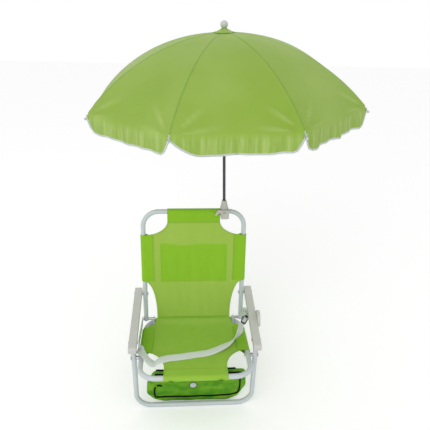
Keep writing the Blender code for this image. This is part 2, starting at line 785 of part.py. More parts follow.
def armrest(name, side, finishes):
    front = ARM_SPAN + ARM_FRONT_OVERRUN
    radius = ARM_END_RADIUS
    outline = [(-ARM_REAR_OVERRUN, -ARM_BELOW_AXIS)]
    outline += arc((-ARM_REAR_OVERRUN + radius, ARM_ABOVE_AXIS - radius), radius, pi, pi / 2, 4)
    outline += arc((front - radius, ARM_ABOVE_AXIS - radius), radius, pi / 2, 0.0, 4)
    outline.append((front, -ARM_BELOW_AXIS))
    world = axes_matrix(ARM_PIVOT + X_AXIS * side * LEG_HALF, ARM_ALONG, ARM_UP, -X_AXIS)
    arm = plate(name, outline, ARM_WIDTH, world)
    bevel(arm, ARM_EDGE)
    hollow = ARM_WIDTH / 2 - ARM_WALL
    low = (-ARM_REAR_OVERRUN + ARM_WALL, -ARM_BELOW_AXIS - CUT_OVERRUN, -hollow)
    high = (front - ARM_WALL, ARM_ABOVE_AXIS - ARM_ROOF, hollow)
    combine(arm, box(name + "_hollow", low, high, world, cutter=True), "DIFFERENCE")
    reach = ARM_WIDTH / 2 + CUT_OVERRUN
    drill(arm, world.translation, X_AXIS, reach, BOLT_RADIUS + GAP)
    drill(arm, world @ Vector((ARM_SPAN, 0.0, 0.0)), X_AXIS, reach, BOLT_RADIUS + GAP)
    return finish(arm, finishes["arm"])


def armrest_disc(finishes):
    """A round dished disc on the outer side of the left-hand armrest as the sitter sees it."""
    face = LEG_HALF + ARM_WIDTH / 2 + GAP
    top = face + DISC_HEIGHT
    profile = [
        (0.0, top - DISC_RIM),
        (DISC_RADIUS - 2 * DISC_RIM, top - DISC_RIM),
        (DISC_RADIUS - DISC_RIM, top),
        (DISC_RADIUS - DISC_RIM / 2, top),
        (DISC_RADIUS, top - DISC_RIM / 2),
        (DISC_RADIUS, face + DISC_RIM / 2),
        (DISC_RADIUS - DISC_RIM / 2, face),
        (0.0, face),
    ]
    centre = ARM_PIVOT + ARM_ALONG * DISC_FORWARD
    disc = finish(turned("armrest_disc", profile, centre, X_AXIS, 24), finishes["arm"])
    seat = top - DISC_RIM + GAP
    head = domed_head(DISC_SCREW_RADIUS, DISC_SCREW_HEIGHT, seat + DISC_SCREW_HEIGHT)
    head.append((0.0, seat))
    screw = finish(turned("armrest_disc_screw", head, centre, X_AXIS), finishes["black"])
    return disc, screw


# Slings


def sling_row(place, along, half, sag):
    """One row of a sling, wrapped round both rails where it is as wide as they are."""
    row = []
    for i in range(SLING_COLUMNS + 1):
        share = -1.0 + 2.0 * i / SLING_COLUMNS
        row.append(place(half * share, along, SLEEVE_RADIUS - sag * (1.0 - share * share)))
    for step in range(1, SLEEVE_STEPS + 1):
        turn = SLEEVE_TURN * step / SLEEVE_STEPS
        ends = []
        for side in (-1, 1):
            out = side * (RAIL_HALF + SLEEVE_RADIUS * sin(turn))
            ends.append(place(out, along, SLEEVE_RADIUS * cos(turn)) if half >= RAIL_HALF else None)
        row = [ends[0]] + row + [ends[1]]
    return row


def end_rows(place, half, along, outward):
    """The rows that carry a sling's end round its cross bar."""
    rows = []
    for step in range(1, SLEEVE_STEPS + 1):
        turn = SLEEVE_TURN * step / SLEEVE_STEPS
        out = along + outward * SLEEVE_RADIUS * sin(turn)
        row = []
        for i in range(SLING_COLUMNS + 1):
            share = -1.0 + 2.0 * i / SLING_COLUMNS
            row.append(place(half * share, out, SLEEVE_RADIUS * cos(turn)))
        pad = [None] * SLEEVE_STEPS
        rows.append(pad + row + pad)
    return rows


def ellipse_cut(centre_half, corner, reach, angle):
    """Half width and place along an elliptical cut-out, at an angle from its waist."""
    waist, depth = reach
    return centre_half - waist * cos(angle), corner + depth * sin(angle)


def back_sling(finishes):
    widths = []
    waist = (RAIL_HALF - BACK_WAIST_HALF, SIDE_SLEEVE_BOTTOM - BACK_WAIST_UP)
    widths.append((BACK_SLING_FOOT, BACK_WAIST_HALF))
    for degree in (0, 18, 36, 54, 72):
        half, up = ellipse_cut(RAIL_HALF, BACK_WAIST_UP, waist, radians(degree))
        widths.append((up, half))
    for step in range(4):
        up = SIDE_SLEEVE_BOTTOM + (SIDE_SLEEVE_TOP - SIDE_SLEEVE_BOTTOM) * step / 3
        widths.append((up, RAIL_HALF))
    shoulder = (RAIL_HALF - TOP_SLEEVE_HALF, SIDE_SLEEVE_TOP - TOP_CUT_START)
    for degree in (72, 54, 36, 18, 0):
        half, up = ellipse_cut(RAIL_HALF, TOP_CUT_START, shoulder, radians(degree))
        widths.append((up, half))
    widths.append((BACK_LENGTH, TOP_SLEEVE_HALF))

    rows = []
    for up, half in widths:
        sag = BACK_SAG * sin(pi * up / BACK_LENGTH)
        rows.append(sling_row(back_point, up, half, sag))
    rows += end_rows(back_point, TOP_SLEEVE_HALF, BACK_LENGTH, 1)
    return sheet("back_sling", rows, FABRIC, finishes["sling"])


def seat_sling(finishes):
    widths = []
    waist = BRACKET_INNER - SEAT_WAIST_INSET
    bend = RAIL_HALF - SEAT_REAR_RADIUS
    corner = asin((waist - bend) / SEAT_REAR_RADIUS)
    for step in range(4):
        turn = corner * step / 3
        along = -SEAT_REAR + SEAT_REAR_RADIUS * (1.0 - cos(turn))
        widths.append((along, bend + SEAT_REAR_RADIUS * sin(turn)))
    notch = BRACKET_NECK + SEAT_NOTCH_CLEAR
    widths.append((0.0, waist))
    for step in range(3):
        share = step / 3
        along = notch + (SEAT_SLEEVE_REAR - notch) * share
        widths.append((along, waist + (RAIL_HALF - waist) * share))
    for step in range(4):
        along = SEAT_SLEEVE_REAR + (SEAT_SLEEVE_FRONT - SEAT_SLEEVE_REAR) * step / 3
        widths.append((along, RAIL_HALF))
    cut = (RAIL_HALF - FRONT_SLEEVE_HALF, SEAT_SLEEVE_FRONT - FRONT_CUT_END)
    for degree in (72, 54, 36, 18, 0):
        half, along = ellipse_cut(RAIL_HALF, FRONT_CUT_END, cut, radians(degree))
        widths.append((along, half))
    widths.append((SEAT_FRONT, FRONT_SLEEVE_HALF))

    def place(side, forward, rise):
        return seat_point(side, forward, rise - PIVOT_RISE)

    rows = list(reversed(end_rows(place, bend, -SEAT_REAR, -1)))
    for along, half in widths:
        sag = SEAT_SAG * sin(pi * smooth((along + SEAT_REAR) / (SEAT_FRONT + SEAT_REAR)))
        rows.append(sling_row(place, along, half, sag))
    rows += end_rows(place, FRONT_SLEEVE_HALF, SEAT_FRONT, 1)
    return sheet("seat_sling", rows, FABRIC, finishes["sling"])


def back_pocket(finishes):
    """A flat pocket sewn to the rear side of the back sling, bulged a little to the rear."""
    rows = []
    for row in range(6):
        up = POCKET_BOTTOM + (POCKET_TOP - POCKET_BOTTOM) * row / 5
        sag = BACK_SAG * sin(pi * up / BACK_LENGTH)
        line = []
        for column in range(SLING_COLUMNS + 1):
            share = -1.0 + 2.0 * column / SLING_COLUMNS
            side = POCKET_HALF * share
            across = side / RAIL_HALF
            bulge = POCKET_BULGE * (1.0 - share**4) * sin(pi * (row + 1) / 8)
            behind = SLEEVE_RADIUS - sag * (1.0 - across * across) - FABRIC - SLEEVE_GAP - bulge
            line.append(back_point(side, up, behind))
        rows.append(line)
    return sheet("back_pocket", rows, FABRIC, finishes["sling"])


# Belt


def ribbon(name, spine, width, thickness, ribbon_material):
    """A strap along (point, width direction) pairs."""
    rows = []
    for point, across in spine:
        half = across.normalized() * width / 2
        rows.append([point - half, point, point + half])
    return sheet(name, rows, thickness, ribbon_material)


def seat_half(forward):
    """The seat sling's half width ahead of its side sleeves, at its front cut-outs."""
    share = (FRONT_CUT_END - forward) / (FRONT_CUT_END - SEAT_SLEEVE_FRONT)
    if share >= 1.0:
        return RAIL_HALF
    return RAIL_HALF - (RAIL_HALF - FRONT_SLEEVE_HALF) * sqrt(1.0 - max(share, 0.0) ** 2)


def seat_lay(side, forward):
    """How high webbing lies on the seat sling at a place on it."""
    share = min(abs(side) / seat_half(forward + WEBBING_WIDTH / 2), 1.0)
    sag = SEAT_SAG * sin(pi * smooth((forward + SEAT_REAR) / (SEAT_FRONT + SEAT_REAR)))
    top = SLEEVE_RADIUS + FABRIC / 2 + WEBBING_CLEAR + WEBBING / 2
    return top - PIVOT_RISE - sag * (1.0 - share * share)


def buckle_matrix():
    """The buckle's frame: X across the webbing, Y along it, Z out of its face."""
    out = Vector((cos(BUCKLE_TURN), -sin(BUCKLE_TURN), 0.0))
    level = Z_AXIS.cross(out)
    travel = (level + Z_AXIS).normalized()
    place = seat_point(RAIL_HALF + BUCKLE_SIDE, BUCKLE_FORWARD, BUCKLE_RISE)
    return axes_matrix(place, travel.cross(out), travel, out)


def buckle_fold():
    """The line below the buckle that it lies down about, inwards: X along the line."""
    buckle = buckle_matrix()
    out = buckle.to_3x3() @ Z_AXIS
    line = out.cross(SEAT_UP).normalized()
    place = buckle.translation + out * BUCKLE_FOLD_OUT - SEAT_UP * BUCKLE_FOLD_DROP
    return axes_matrix(place, line, SEAT_UP, line.cross(SEAT_UP))


def belt_strap_long(finishes):
    """From outside the one rail, over it at the leg, across the seat and up to the buckle."""
    outside = -(RAIL_HALF + TUBE_RADIUS + HEAD_HEIGHT + WEBBING_OUT)
    up = SEAT_UP
    ahead = -SEAT_FORWARD
    spine = []
    for forward, rise, slant in BELT_SIDE_SHARES:
        spine.append((seat_point(outside, forward * LEG_REACH, rise * PIVOT_RISE), up + ahead * slant))
    for side, forward, rise, slant in BELT_OVER_SHARES:
        place = seat_point(side * WEBBING_WIDTH - RAIL_HALF, forward * LEG_REACH, rise * PIVOT_RISE)
        spine.append((place, up * slant + ahead))
    for side, forward, sink in BELT_DROOP_SHARES:
        spine.append((seat_point(side * RAIL_HALF, forward * LEG_REACH, -sink * PIVOT_RISE), ahead))
    for side, forward, slant in BELT_LAY_SHARES:
        place = (side * RAIL_HALF, forward * LEG_REACH)
        across = ahead + X_AXIS * slant
        spine.append((seat_point(*place, seat_lay(*place)), across))
    buckle = buckle_matrix()
    across = buckle.to_3x3() @ X_AXIS
    travel = buckle.to_3x3() @ Y_AXIS
    middle = buckle.translation
    for side, forward, rise in BELT_RISE_SHARES:
        place = seat_point(side * RAIL_HALF, forward * LEG_REACH, rise * BUCKLE_RISE)
        spine.append((place, ahead * (1.0 - rise) + across))
    spine += [
        (middle - travel * BUCKLE_LENGTH * BUCKLE_ENTRY_SHARE, across),
        (middle - travel * GAP, across),
    ]
    return ribbon("belt_strap_long", spine, WEBBING_WIDTH, WEBBING, finishes["webbing"])


def belt_strap_short(finishes):
    """From the other back pivot up to the buckle's far end, where it folds in."""
    outside = RAIL_HALF + TUBE_RADIUS + HEAD_HEIGHT + WEBBING_OUT
    buckle = buckle_matrix()
    across = buckle.to_3x3() @ X_AXIS
    travel = buckle.to_3x3() @ Y_AXIS
    out = buckle.to_3x3() @ Z_AXIS
    middle = buckle.translation
    spine = []
    for forward, rise in BELT_END_SHARES:
        spine.append((seat_point(outside, forward * LEG_REACH, rise * PIVOT_RISE), SEAT_FORWARD))
    first, last = (BUCKLE_LENGTH * share for share in BUCKLE_FOLD_SHARES)
    spine += [
        (middle + travel * first - out * BUCKLE_HEIGHT, -across),
        (middle + travel * last, -across),
        (middle + travel * BUCKLE_LENGTH * BUCKLE_ENTRY_SHARE, -across),
        (middle + travel * GAP, -across),
    ]
    return ribbon("belt_strap_short", spine, WEBBING_WIDTH, WEBBING, finishes["webbing"])


def belt_buckle(finishes):
    """A moulded slide: a slot through it for the webbing and two windows in its face."""
    world = buckle_matrix()
    half = Vector((BUCKLE_WIDTH, BUCKLE_LENGTH, BUCKLE_HEIGHT)) / 2
    body = bevel(box("belt_buckle", -half, half, world), BUCKLE_EDGE)
    slot = (WEBBING_WIDTH / 2 + GAP, half.y + CUT_OVERRUN, WEBBING / 2 + GAP)
    combine(body, box("buckle_slot", [-x for x in slot], slot, world, cutter=True), "DIFFERENCE")
    window = half.x - (BUCKLE_WIDTH - WEBBING_WIDTH) / 2 - BUCKLE_WALL
    for sign in (-1, 1):
        ends = sorted((sign * BUCKLE_BAR / 2, sign * (half.y - BUCKLE_BAR)))
        low = (-window, ends[0], 0.0)
        high = (window, ends[1], half.z + CUT_OVERRUN)
        combine(body, box("buckle_window", low, high, world, cutter=True), "DIFFERENCE")
    low = (-BUCKLE_TAB / 2, half.y - BUCKLE_BAR + BUCKLE_EDGE, half.z - BUCKLE_EDGE)
    high = (BUCKLE_TAB / 2, half.y - BUCKLE_EDGE, half.z + BUCKLE_BAR / 2)
    combine(body, box("buckle_tab", low, high, world), "UNION")
    return finish(body, finishes["black"])


# Pouch


def storage_pouch(finishes):
    """A soft bag with rounded ends that stands just behind the front floor bar."""
    half = POUCH_HALF
    radius = POUCH_CORNER
    outline = []
    for side, lift, start in ((1, 0, -90), (1, 1, 0), (-1, 1, 90), (-1, 0, 180)):
        centre = (side * (half - radius), radius + lift * (POUCH_HEIGHT - 2 * radius))
        outline += arc(centre, radius, radians(start), radians(start + 90), 5)
    middle = Vector((POUCH_CENTRE, POUCH_FRONT + POUCH_DEPTH / 2, POUCH_BOTTOM))
    world = axes_matrix(middle, X_AXIS, Z_AXIS, -Y_AXIS)
    pouch = plate("storage_pouch", outline, POUCH_DEPTH, world)
    return finish(bevel(pouch, POUCH_EDGE, radians(60.0)), finishes["pouch"])


def pouch_snap(finishes):
    centre = Vector((SNAP_SIDE, POUCH_FRONT - GAP, SNAP_UP))
    profile = domed_head(SNAP_RADIUS, SNAP_HEIGHT, SNAP_HEIGHT)
    profile.append((0.0, 0.0))
    return finish(turned("pouch_snap", profile, centre, -Y_AXIS, 16), finishes["nylon"])


def pouch_loop(name, side, finishes):
    """A webbing strap from the pouch's top to the underside of the seat's front sleeve."""
    bar = seat_point(side * LOOP_HALF, SEAT_FRONT, -PIVOT_RISE)
    top = POUCH_BOTTOM + POUCH_HEIGHT + GAP + WEBBING / 2
    inner = POUCH_FRONT + LOOP_INSET
    hold = Vector((bar.x, inner, top))
    reach = hold - bar
    radius = SLEEVE_RADIUS + FABRIC / 2 + GAP + WEBBING / 2
    leave = atan2(reach.z, reach.y) - acos(radius / reach.length)
    spine = [(hold + Y_AXIS * LOOP_HOLD, X_AXIS), (hold, X_AXIS)]
    for step in range(SLEEVE_STEPS + 1):
        turn = leave - LOOP_TURN * step / SLEEVE_STEPS
        spine.append((bar + Vector((0.0, radius * cos(turn), radius * sin(turn))), X_AXIS))
    return ribbon(name, spine, LOOP_WIDTH, WEBBING, finishes["pouch"])


# Clamp


def clamp_body(lean, finishes):
    """A hooked block over the top bar with a conical neck that holds the pole."""
    low = (-CLAMP_INNER, -CLAMP_FRONT, -CLAMP_BOTTOM)
    high = (CLAMP_OUTER, CLAMP_REAR, CLAMP_SHOULDER)
    body = box("clamp_body", low, high, lean)
    bevel(body, CLAMP_EDGE)
    profile = [
        (0.0, NECK_TOP),
        (NECK_TOP_RADIUS, NECK_TOP),
        (NECK_FOOT_RADIUS, CLAMP_SHOULDER + CLAMP_EDGE),
        (NECK_FOOT_RADIUS, CLAMP_SHOULDER - 2 * CLAMP_EDGE),
        (0.0, CLAMP_SHOULDER - 2 * CLAMP_EDGE),
    ]
    turn = lean.to_3x3()
    up = turn @ Z_AXIS
    base = lean.translation
    combine(body, turned("clamp_neck", profile, base, up, 20), "UNION")
    hub_side, hub_up = lever_centre()
    front, rear = lever_sides()
    ear = box(
        "clamp_ear",
        (hub_side - LEVER_HUB_RADIUS, front - GAP - EAR_WALL, hub_up - LEVER_HUB_RADIUS),
        (EAR_SINK - CLAMP_INNER, front - GAP, hub_up + LEVER_HUB_RADIUS),
        lean,
    )
    combine(body, ear, "UNION")
    stud_start = lean @ Vector((hub_side, front - GAP - EAR_WALL / 2, hub_up))
    stud_end = lean @ Vector((hub_side, rear, hub_up))
    combine(body, rod_cutter("clamp_stud", stud_start, stud_end, STUD_RADIUS), "UNION")
    socket_end = base + up * (NECK_TOP + CUT_OVERRUN)
    socket = rod_cutter("clamp_socket", base + up * SOCKET_FLOOR, socket_end, POLE_RADIUS + GAP, 16)
    combine(body, socket, "DIFFERENCE")
    reach = X_AXIS * (CLAMP_OUTER + 2 * CUT_OVERRUN)
    channel = rod_cutter("clamp_channel", base - reach, base + reach, TUBE_RADIUS + GAP, 16)
    combine(body, channel, "DIFFERENCE")
    mouth_low = (-reach.x, 0.0, -TUBE_RADIUS - GAP)
    mouth_high = (reach.x, CLAMP_REAR + CUT_OVERRUN, TUBE_RADIUS - CLAMP_EDGE)
    mouth = box("clamp_mouth", mouth_low, mouth_high, Matrix.Translation(base), cutter=True)
    combine(body, mouth, "DIFFERENCE")
    slot_outline = arc((SLOT_HALF - SLOT_RADIUS, 0.0), SLOT_RADIUS, -pi / 2, pi / 2, 6)
    slot_outline += arc((SLOT_RADIUS - SLOT_HALF, 0.0), SLOT_RADIUS, pi / 2, 3 * pi / 2, 6)
    slot_face = lean @ axes_matrix(Vector((0.0, -CLAMP_FRONT, SLOT_UP)), X_AXIS, Z_AXIS, -Y_AXIS)
    combine(body, plate("clamp_slot", slot_outline, 2 * SLOT_DEPTH, slot_face), "DIFFERENCE")
    return finish(body, finishes["clamp"])


def lever_centre():
    """The lever's axis in the clamp's frame, as its place across and up."""
    return -CLAMP_INNER - LEVER_HUB_RADIUS - GAP, LEVER_UP


def lever_sides():
    """The lever's front and rear faces, clear of the sleeve on the top bar."""
    rear = -(SLEEVE_RADIUS + FABRIC / 2 + LEVER_CLEAR)
    return rear - LEVER_WIDTH, rear


def clamp_lever(lean, finishes):
    """A thumb lever in front of the bar, slanting down when it is locked."""
    hub_side, hub_up = lever_centre()
    front, rear = lever_sides()
    outward = (-cos(LEVER_SLANT), -sin(LEVER_SLANT))
    tip = (hub_side + outward[0] * LEVER_LENGTH, hub_up + outward[1] * LEVER_LENGTH)
    facing = atan2(outward[1], outward[0])
    outline = arc((hub_side, hub_up), LEVER_HUB_RADIUS, facing + pi / 2, facing + 3 * pi / 2, 8)
    outline += arc(tip, LEVER_TIP_RADIUS, facing - pi / 2, facing + pi / 2, 5)
    middle = Vector((0.0, (front + rear) / 2, 0.0))
    lever = plate("clamp_lever", outline, LEVER_WIDTH, lean @ axes_matrix(middle, X_AXIS, Z_AXIS, -Y_AXIS))
    hub = lean @ Vector((hub_side, middle.y, hub_up))
    drill(lever, hub, lean.to_3x3() @ Y_AXIS, LEVER_WIDTH, STUD_RADIUS + GAP)
    return finish(lever, finishes["clamp"])


# Umbrella, in the pole's own frame


class Rib:
    """The bent rib as an arc in the plane of its radius and the pole, from its crown hinge."""

    def __init__(self):
        across = RIM_RADIUS - HINGE_RADIUS
        drop = APEX_HEIGHT - CROWN_DROP - RIM_HEIGHT
        chord = hypot(across, drop)
        self.bend_radius = chord / 2 / sin(RIB_BEND / 2)
        self.length = self.bend_radius * RIB_BEND
        self.start = atan2(across, drop) + RIB_BEND / 2

    def point(self, along, outward=0.0):
        """Radius from the hinge and height above it, at a length along the rib."""
        facing = self.start - along / self.bend_radius
        radius = self.bend_radius * (cos(facing) - cos(self.start))
        height = -self.bend_radius * (sin(self.start) - sin(facing))
        return radius + outward * cos(facing), height + outward * sin(facing)


RIB = Rib()
CROWN_HEIGHT_UP = APEX_HEIGHT - CROWN_DROP


def attach_point():
    """The stretcher's hinge on the rib, from the crown hinge."""
    return RIB.point(ATTACH_ALONG, -KNEE_DROP)


def rib_curve(finishes):
    """One rib as a bent wire with a ball at its tip, shared by all ribs."""
    path = [(Vector((-HINGE_OVERRUN, 0.0, 0.0)), RIB_RADIUS)]
    for step in range(1, RIB_STEPS + 1):
        radius, height = RIB.point(RIB.length * step / RIB_STEPS)
        path.append((Vector((radius, 0.0, height)), RIB_RADIUS))
    reach = RIB.length + TIP_OVERRUN - 2 * TIP_BALL
    for along, share in TIP_BALL_SHARES:
        radius, height = RIB.point(reach + TIP_BALL * along)
        path.append((Vector((radius, 0.0, height)), max(TIP_BALL * share, RIB_RADIUS * share)))
    return finish(tube("rib_1", path, resolution=1), finishes["nylon"])


def stretcher_curve(finishes):
    """One stretcher, beside its rib, from the rib down to the runner, in its hinge's frame."""
    radius, height = attach_point()
    direction = Vector((-radius, 0.0, height)).normalized()
    length = hypot(radius, height)
    side = Y_AXIS * (RIB_RADIUS + STRETCHER_RADIUS + GAP)
    path = even([side - direction * HINGE_OVERRUN, side + direction * (length + HINGE_OVERRUN)], STRETCHER_RADIUS)
    return finish(tube("stretcher_1", path, resolution=1), finishes["pole"])


def gore_mesh(finishes):
    """One gore centred on a rib: half a panel each side, and a half valance under each."""
    lift = RIB_RADIUS + GAP + CANOPY / 2
    between = 2 * pi / RIB_COUNT

    def spot(along, share, drop):
        radius, height = RIB.point(along, lift)
        half = (radius + HINGE_RADIUS) * sin(between) / 2 - SEAM_GAP / 2
        reach = half * share
        inward = abs(reach) * tan(between / 2)
        belly = PANEL_SAG * abs(share) * (2.0 - abs(share)) * sin(0.8 * pi * along / RIB.length)
        return Vector((radius - inward, reach, height - belly - drop))

    def hem(share, depth):
        if share == 0.0:
            return None
        full = min(abs(share) / VALANCE_RISE_SHARE, 1.0)
        return depth * (VALANCE_NOTCH + (VALANCE - VALANCE_NOTCH) * sin(full * pi / 2))

    across = [-share for share in reversed(GORE_SHARES)] + [0.0] + list(GORE_SHARES)
    rows = []
    for step in range(RIB_STEPS + 1):
        along = RIB.length * step / RIB_STEPS if step else CANOPY_START
        rows.append([spot(along, share, 0.0) for share in across])
    for depth in (0.5, 1.0):
        drops = [hem(share, depth) for share in across]
        rows.append([drop and spot(RIB.length, share, drop) for share, drop in zip(across, drops)])
    return sheet("gore_1", rows, CANOPY, finishes["canopy"])


def pole_piece(lean, finishes):
    up = lean.to_3x3() @ Z_AXIS
    top = CROWN_HEIGHT_UP + CROWN_HEIGHT / 2 - GAP
    profile = [(0.0, top), (POLE_RADIUS, top), (POLE_RADIUS, SOCKET_FLOOR + GAP), (0.0, SOCKET_FLOOR + GAP)]
    return finish(turned("pole", profile, lean.translation, up, 12), finishes["pole"])


def crown_piece(lean, finishes):
    """The notched crown that the ribs hinge on."""
    up = lean.to_3x3() @ Z_AXIS
    bore = POLE_RADIUS + GAP
    top = CROWN_HEIGHT_UP + CROWN_HEIGHT / 2
    bottom = CROWN_HEIGHT_UP - CROWN_HEIGHT / 2
    profile = [
        (0.0, top + GAP),
        (CROWN_RADIUS - RUNNER_LIP / 2, top + GAP),
        (CROWN_RADIUS, top - RUNNER_LIP / 2),
        (CROWN_RADIUS, bottom),
        (bore, bottom),
        (bore, top),
        (0.0, top),
    ]
    return finish(turned("crown", profile, lean.translation, up, 16), finishes["nylon"])


def runner_piece(lean, finishes):
    """The sliding runner that the stretchers hinge on."""
    up = lean.to_3x3() @ Z_AXIS
    bore = POLE_RADIUS + GAP
    centre = CROWN_HEIGHT_UP + 2 * attach_point()[1]
    top = centre + RUNNER_ABOVE
    bottom = top - RUNNER_HEIGHT
    profile = [
        (bore, top),
        (RUNNER_RADIUS, top),
        (RUNNER_RADIUS, centre - RUNNER_ABOVE),
        (RUNNER_RADIUS - RUNNER_LIP, centre - RUNNER_ABOVE - RUNNER_LIP),
        (RUNNER_RADIUS - RUNNER_LIP, bottom + RUNNER_LIP),
        (RUNNER_RADIUS, bottom),
        (bore, bottom),
        (bore, top),
    ]
    return finish(turned("runner", profile, lean.translation, up, 16), finishes["nylon"])


def finial_piece(lean, finishes):
    """The round knob on top, whose skirt holds the canopy down."""
    up = lean.to_3x3() @ Z_AXIS
    foot = CROWN_HEIGHT_UP + CROWN_HEIGHT / 2 + GAP * 2
    base = foot + RIB_RADIUS + GAP * 2 + CANOPY
    top = foot + FINIAL_HEIGHT
    centre = top - FINIAL_BALL
    profile = []
    for angle in (90, 64, 38, 12, -14, -40):
        turn = radians(angle)
        profile.append((FINIAL_BALL * cos(turn) if angle < 90 else 0.0, centre + FINIAL_BALL * sin(turn)))
    profile += [
        (FINIAL_NECK, base + SKIRT_HEIGHT * 2),
        (FINIAL_SKIRT, base + SKIRT_HEIGHT / 2),
        (FINIAL_SKIRT, base),
        (FINIAL_NECK, base),
        (FINIAL_NECK, foot),
        (0.0, foot),
    ]
    return finish(turned("finial", profile, lean.translation, up, 16), finishes["nylon"])


def rib_frame(lean, index):
    """World matrix of a rib's crown hinge: X outward, Z along the pole."""
    angle = (index + 0.5) * 2 * pi / RIB_COUNT - pi / 2
    turn = Matrix.Rotation(angle, 4, "Z")
    up = Matrix.Translation((HINGE_RADIUS, 0.0, CROWN_HEIGHT_UP))
    return lean @ turn @ up


def copy_of(first, name):
    """A second object on the same mesh or curve, with the same modifiers."""
    twin = first.copy()
    twin.name = name
    return link(twin)


def umbrella(lean, back, finishes):
    hold = make_pivot("pole_slide_axis", lean, back)
    for piece in (pole_piece, crown_piece, finial_piece):
        attach(piece(lean, finishes), hold)
    slide = make_pivot("runner_slide_axis", lean, hold)
    attach(runner_piece(lean, finishes), slide)
    radius, height = attach_point()
    first = (rib_curve(finishes), stretcher_curve(finishes), gore_mesh(finishes))
    for index in range(RIB_COUNT):
        hinge = rib_frame(lean, index)
        rib_pivot = make_pivot(f"rib_hinge_{index + 1}", hinge, hold)
        knee = hinge @ Matrix.Translation((radius, 0.0, height))
        knee_pivot = make_pivot(f"stretcher_hinge_{index + 1}", knee, rib_pivot)
        pieces = first
        if index:
            names = [f"{kind}_{index + 1}" for kind in ("rib", "stretcher", "gore")]
            pieces = [copy_of(piece, name) for piece, name in zip(first, names)]
        rib, stretcher, gore = pieces
        hang(rib, rib_pivot)
        hang(gore, rib_pivot)
        hang(stretcher, knee_pivot)


def main():
    clear_scene()
    finishes = make_materials()
    frame, seat_path = seat_frame(finishes)
    seat = make_pivot("seat_axis", Matrix.Translation(BACK_PIVOT))
    back = make_pivot("back_fold_axis", Matrix.Translation(BACK_PIVOT), seat)
    front = make_pivot("front_leg_axis", Matrix.Translation(LEG_PIVOT), seat)
    rear = make_pivot("rear_leg_axis", Matrix.Translation(REAR_PIVOT), seat)
    attach(frame, seat)
    attach(seat_sling(finishes), seat)
    attach(storage_pouch(finishes), seat)
    attach(pouch_snap(finishes), seat)
    attach(rear_leg_rod(finishes), seat)
    attach(belt_strap_long(finishes), seat)
    attach(belt_strap_short(finishes), seat)
    attach(belt_buckle(finishes), make_pivot("buckle_fold_axis", buckle_fold(), seat))
    attach(front_leg(finishes), front)
    attach(rear_leg(finishes), rear)
    attach(back_frame(finishes), back)
    attach(back_sling(finishes), back)
    attach(back_pocket(finishes), back)
    for word, side in (("right", -1), ("left", 1)):
        attach(pivot_bracket("pivot_bracket_" + word, side, seat_path, finishes), seat)
        attach(back_bolt("back_bolt_" + word, side, finishes), seat)
        attach(leg_bolt("leg_bolt_" + word, side, finishes), seat)
        attach(pouch_loop("pouch_loop_" + word, side, finishes), seat)
        attach(arm_bolt("arm_bolt_" + word, side, finishes), back)
        arm = make_pivot("armrest_axis_" + word, Matrix.Translation(ARM_PIVOT), back)
        attach(arm_pin("arm_pin_" + word, side, finishes), arm)
        attach(armrest("armrest_" + word, side, finishes), arm)
        if side > 0:
            for piece in armrest_disc(finishes):
                attach(piece, arm)
    lean = Matrix.Translation(TOP_BAR + X_AXIS * POLE_SIDE) @ Matrix.Rotation(POLE_LEAN, 4, "Y")
    attach(clamp_body(lean, finishes), back)
    hub_side, hub_up = lever_centre()
    lever = make_pivot("clamp_lever_axis", lean @ Matrix.Translation((hub_side, 0.0, hub_up)), back)
    attach(clamp_lever(lean, finishes), lever)
    umbrella(lean, back, finishes)


main()
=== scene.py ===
"""Looks of the beach chair with its clamp-on umbrella: cloth, webbing, enamel and plastic.

Metres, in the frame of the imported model: +X to the right as seen from the front,
+Y to the back, +Z up, with the origin on the floor under the front floor bar.
"""

from math import acos, atan2, cos, exp, hypot, pi, radians, sin, sqrt, tan

import bpy
import numpy as np
from mathutils import Matrix, Vector, noise
from mathutils.bvhtree import BVHTree


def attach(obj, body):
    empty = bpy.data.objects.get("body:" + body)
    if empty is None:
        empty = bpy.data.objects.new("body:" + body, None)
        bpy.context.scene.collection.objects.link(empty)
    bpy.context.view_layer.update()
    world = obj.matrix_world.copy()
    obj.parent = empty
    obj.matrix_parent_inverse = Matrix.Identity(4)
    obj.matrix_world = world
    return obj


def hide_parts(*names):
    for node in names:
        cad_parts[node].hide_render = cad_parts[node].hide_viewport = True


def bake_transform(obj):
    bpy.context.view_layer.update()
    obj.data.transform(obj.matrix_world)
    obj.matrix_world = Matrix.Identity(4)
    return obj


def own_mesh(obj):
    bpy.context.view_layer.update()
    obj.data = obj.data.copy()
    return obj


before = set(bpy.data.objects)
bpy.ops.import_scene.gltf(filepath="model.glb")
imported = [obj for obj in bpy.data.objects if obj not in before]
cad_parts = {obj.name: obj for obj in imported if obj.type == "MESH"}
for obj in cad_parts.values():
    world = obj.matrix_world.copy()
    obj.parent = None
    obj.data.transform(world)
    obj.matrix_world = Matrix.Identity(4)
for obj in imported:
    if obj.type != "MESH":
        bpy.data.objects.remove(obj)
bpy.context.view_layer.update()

# Camera, fitted to the photograph; the focal length is in pixels of its frame
IMAGE_PIXELS = 430
FOCAL_PIXELS = 459.811
SENSOR_MM = 36.0
CAMERA_PLACE = Vector((-0.02882, -0.90209, 1.04386))
CAMERA_PITCH = 0.46575
CAMERA_YAW = 0.07752
CAMERA_ROLL = 0.02903

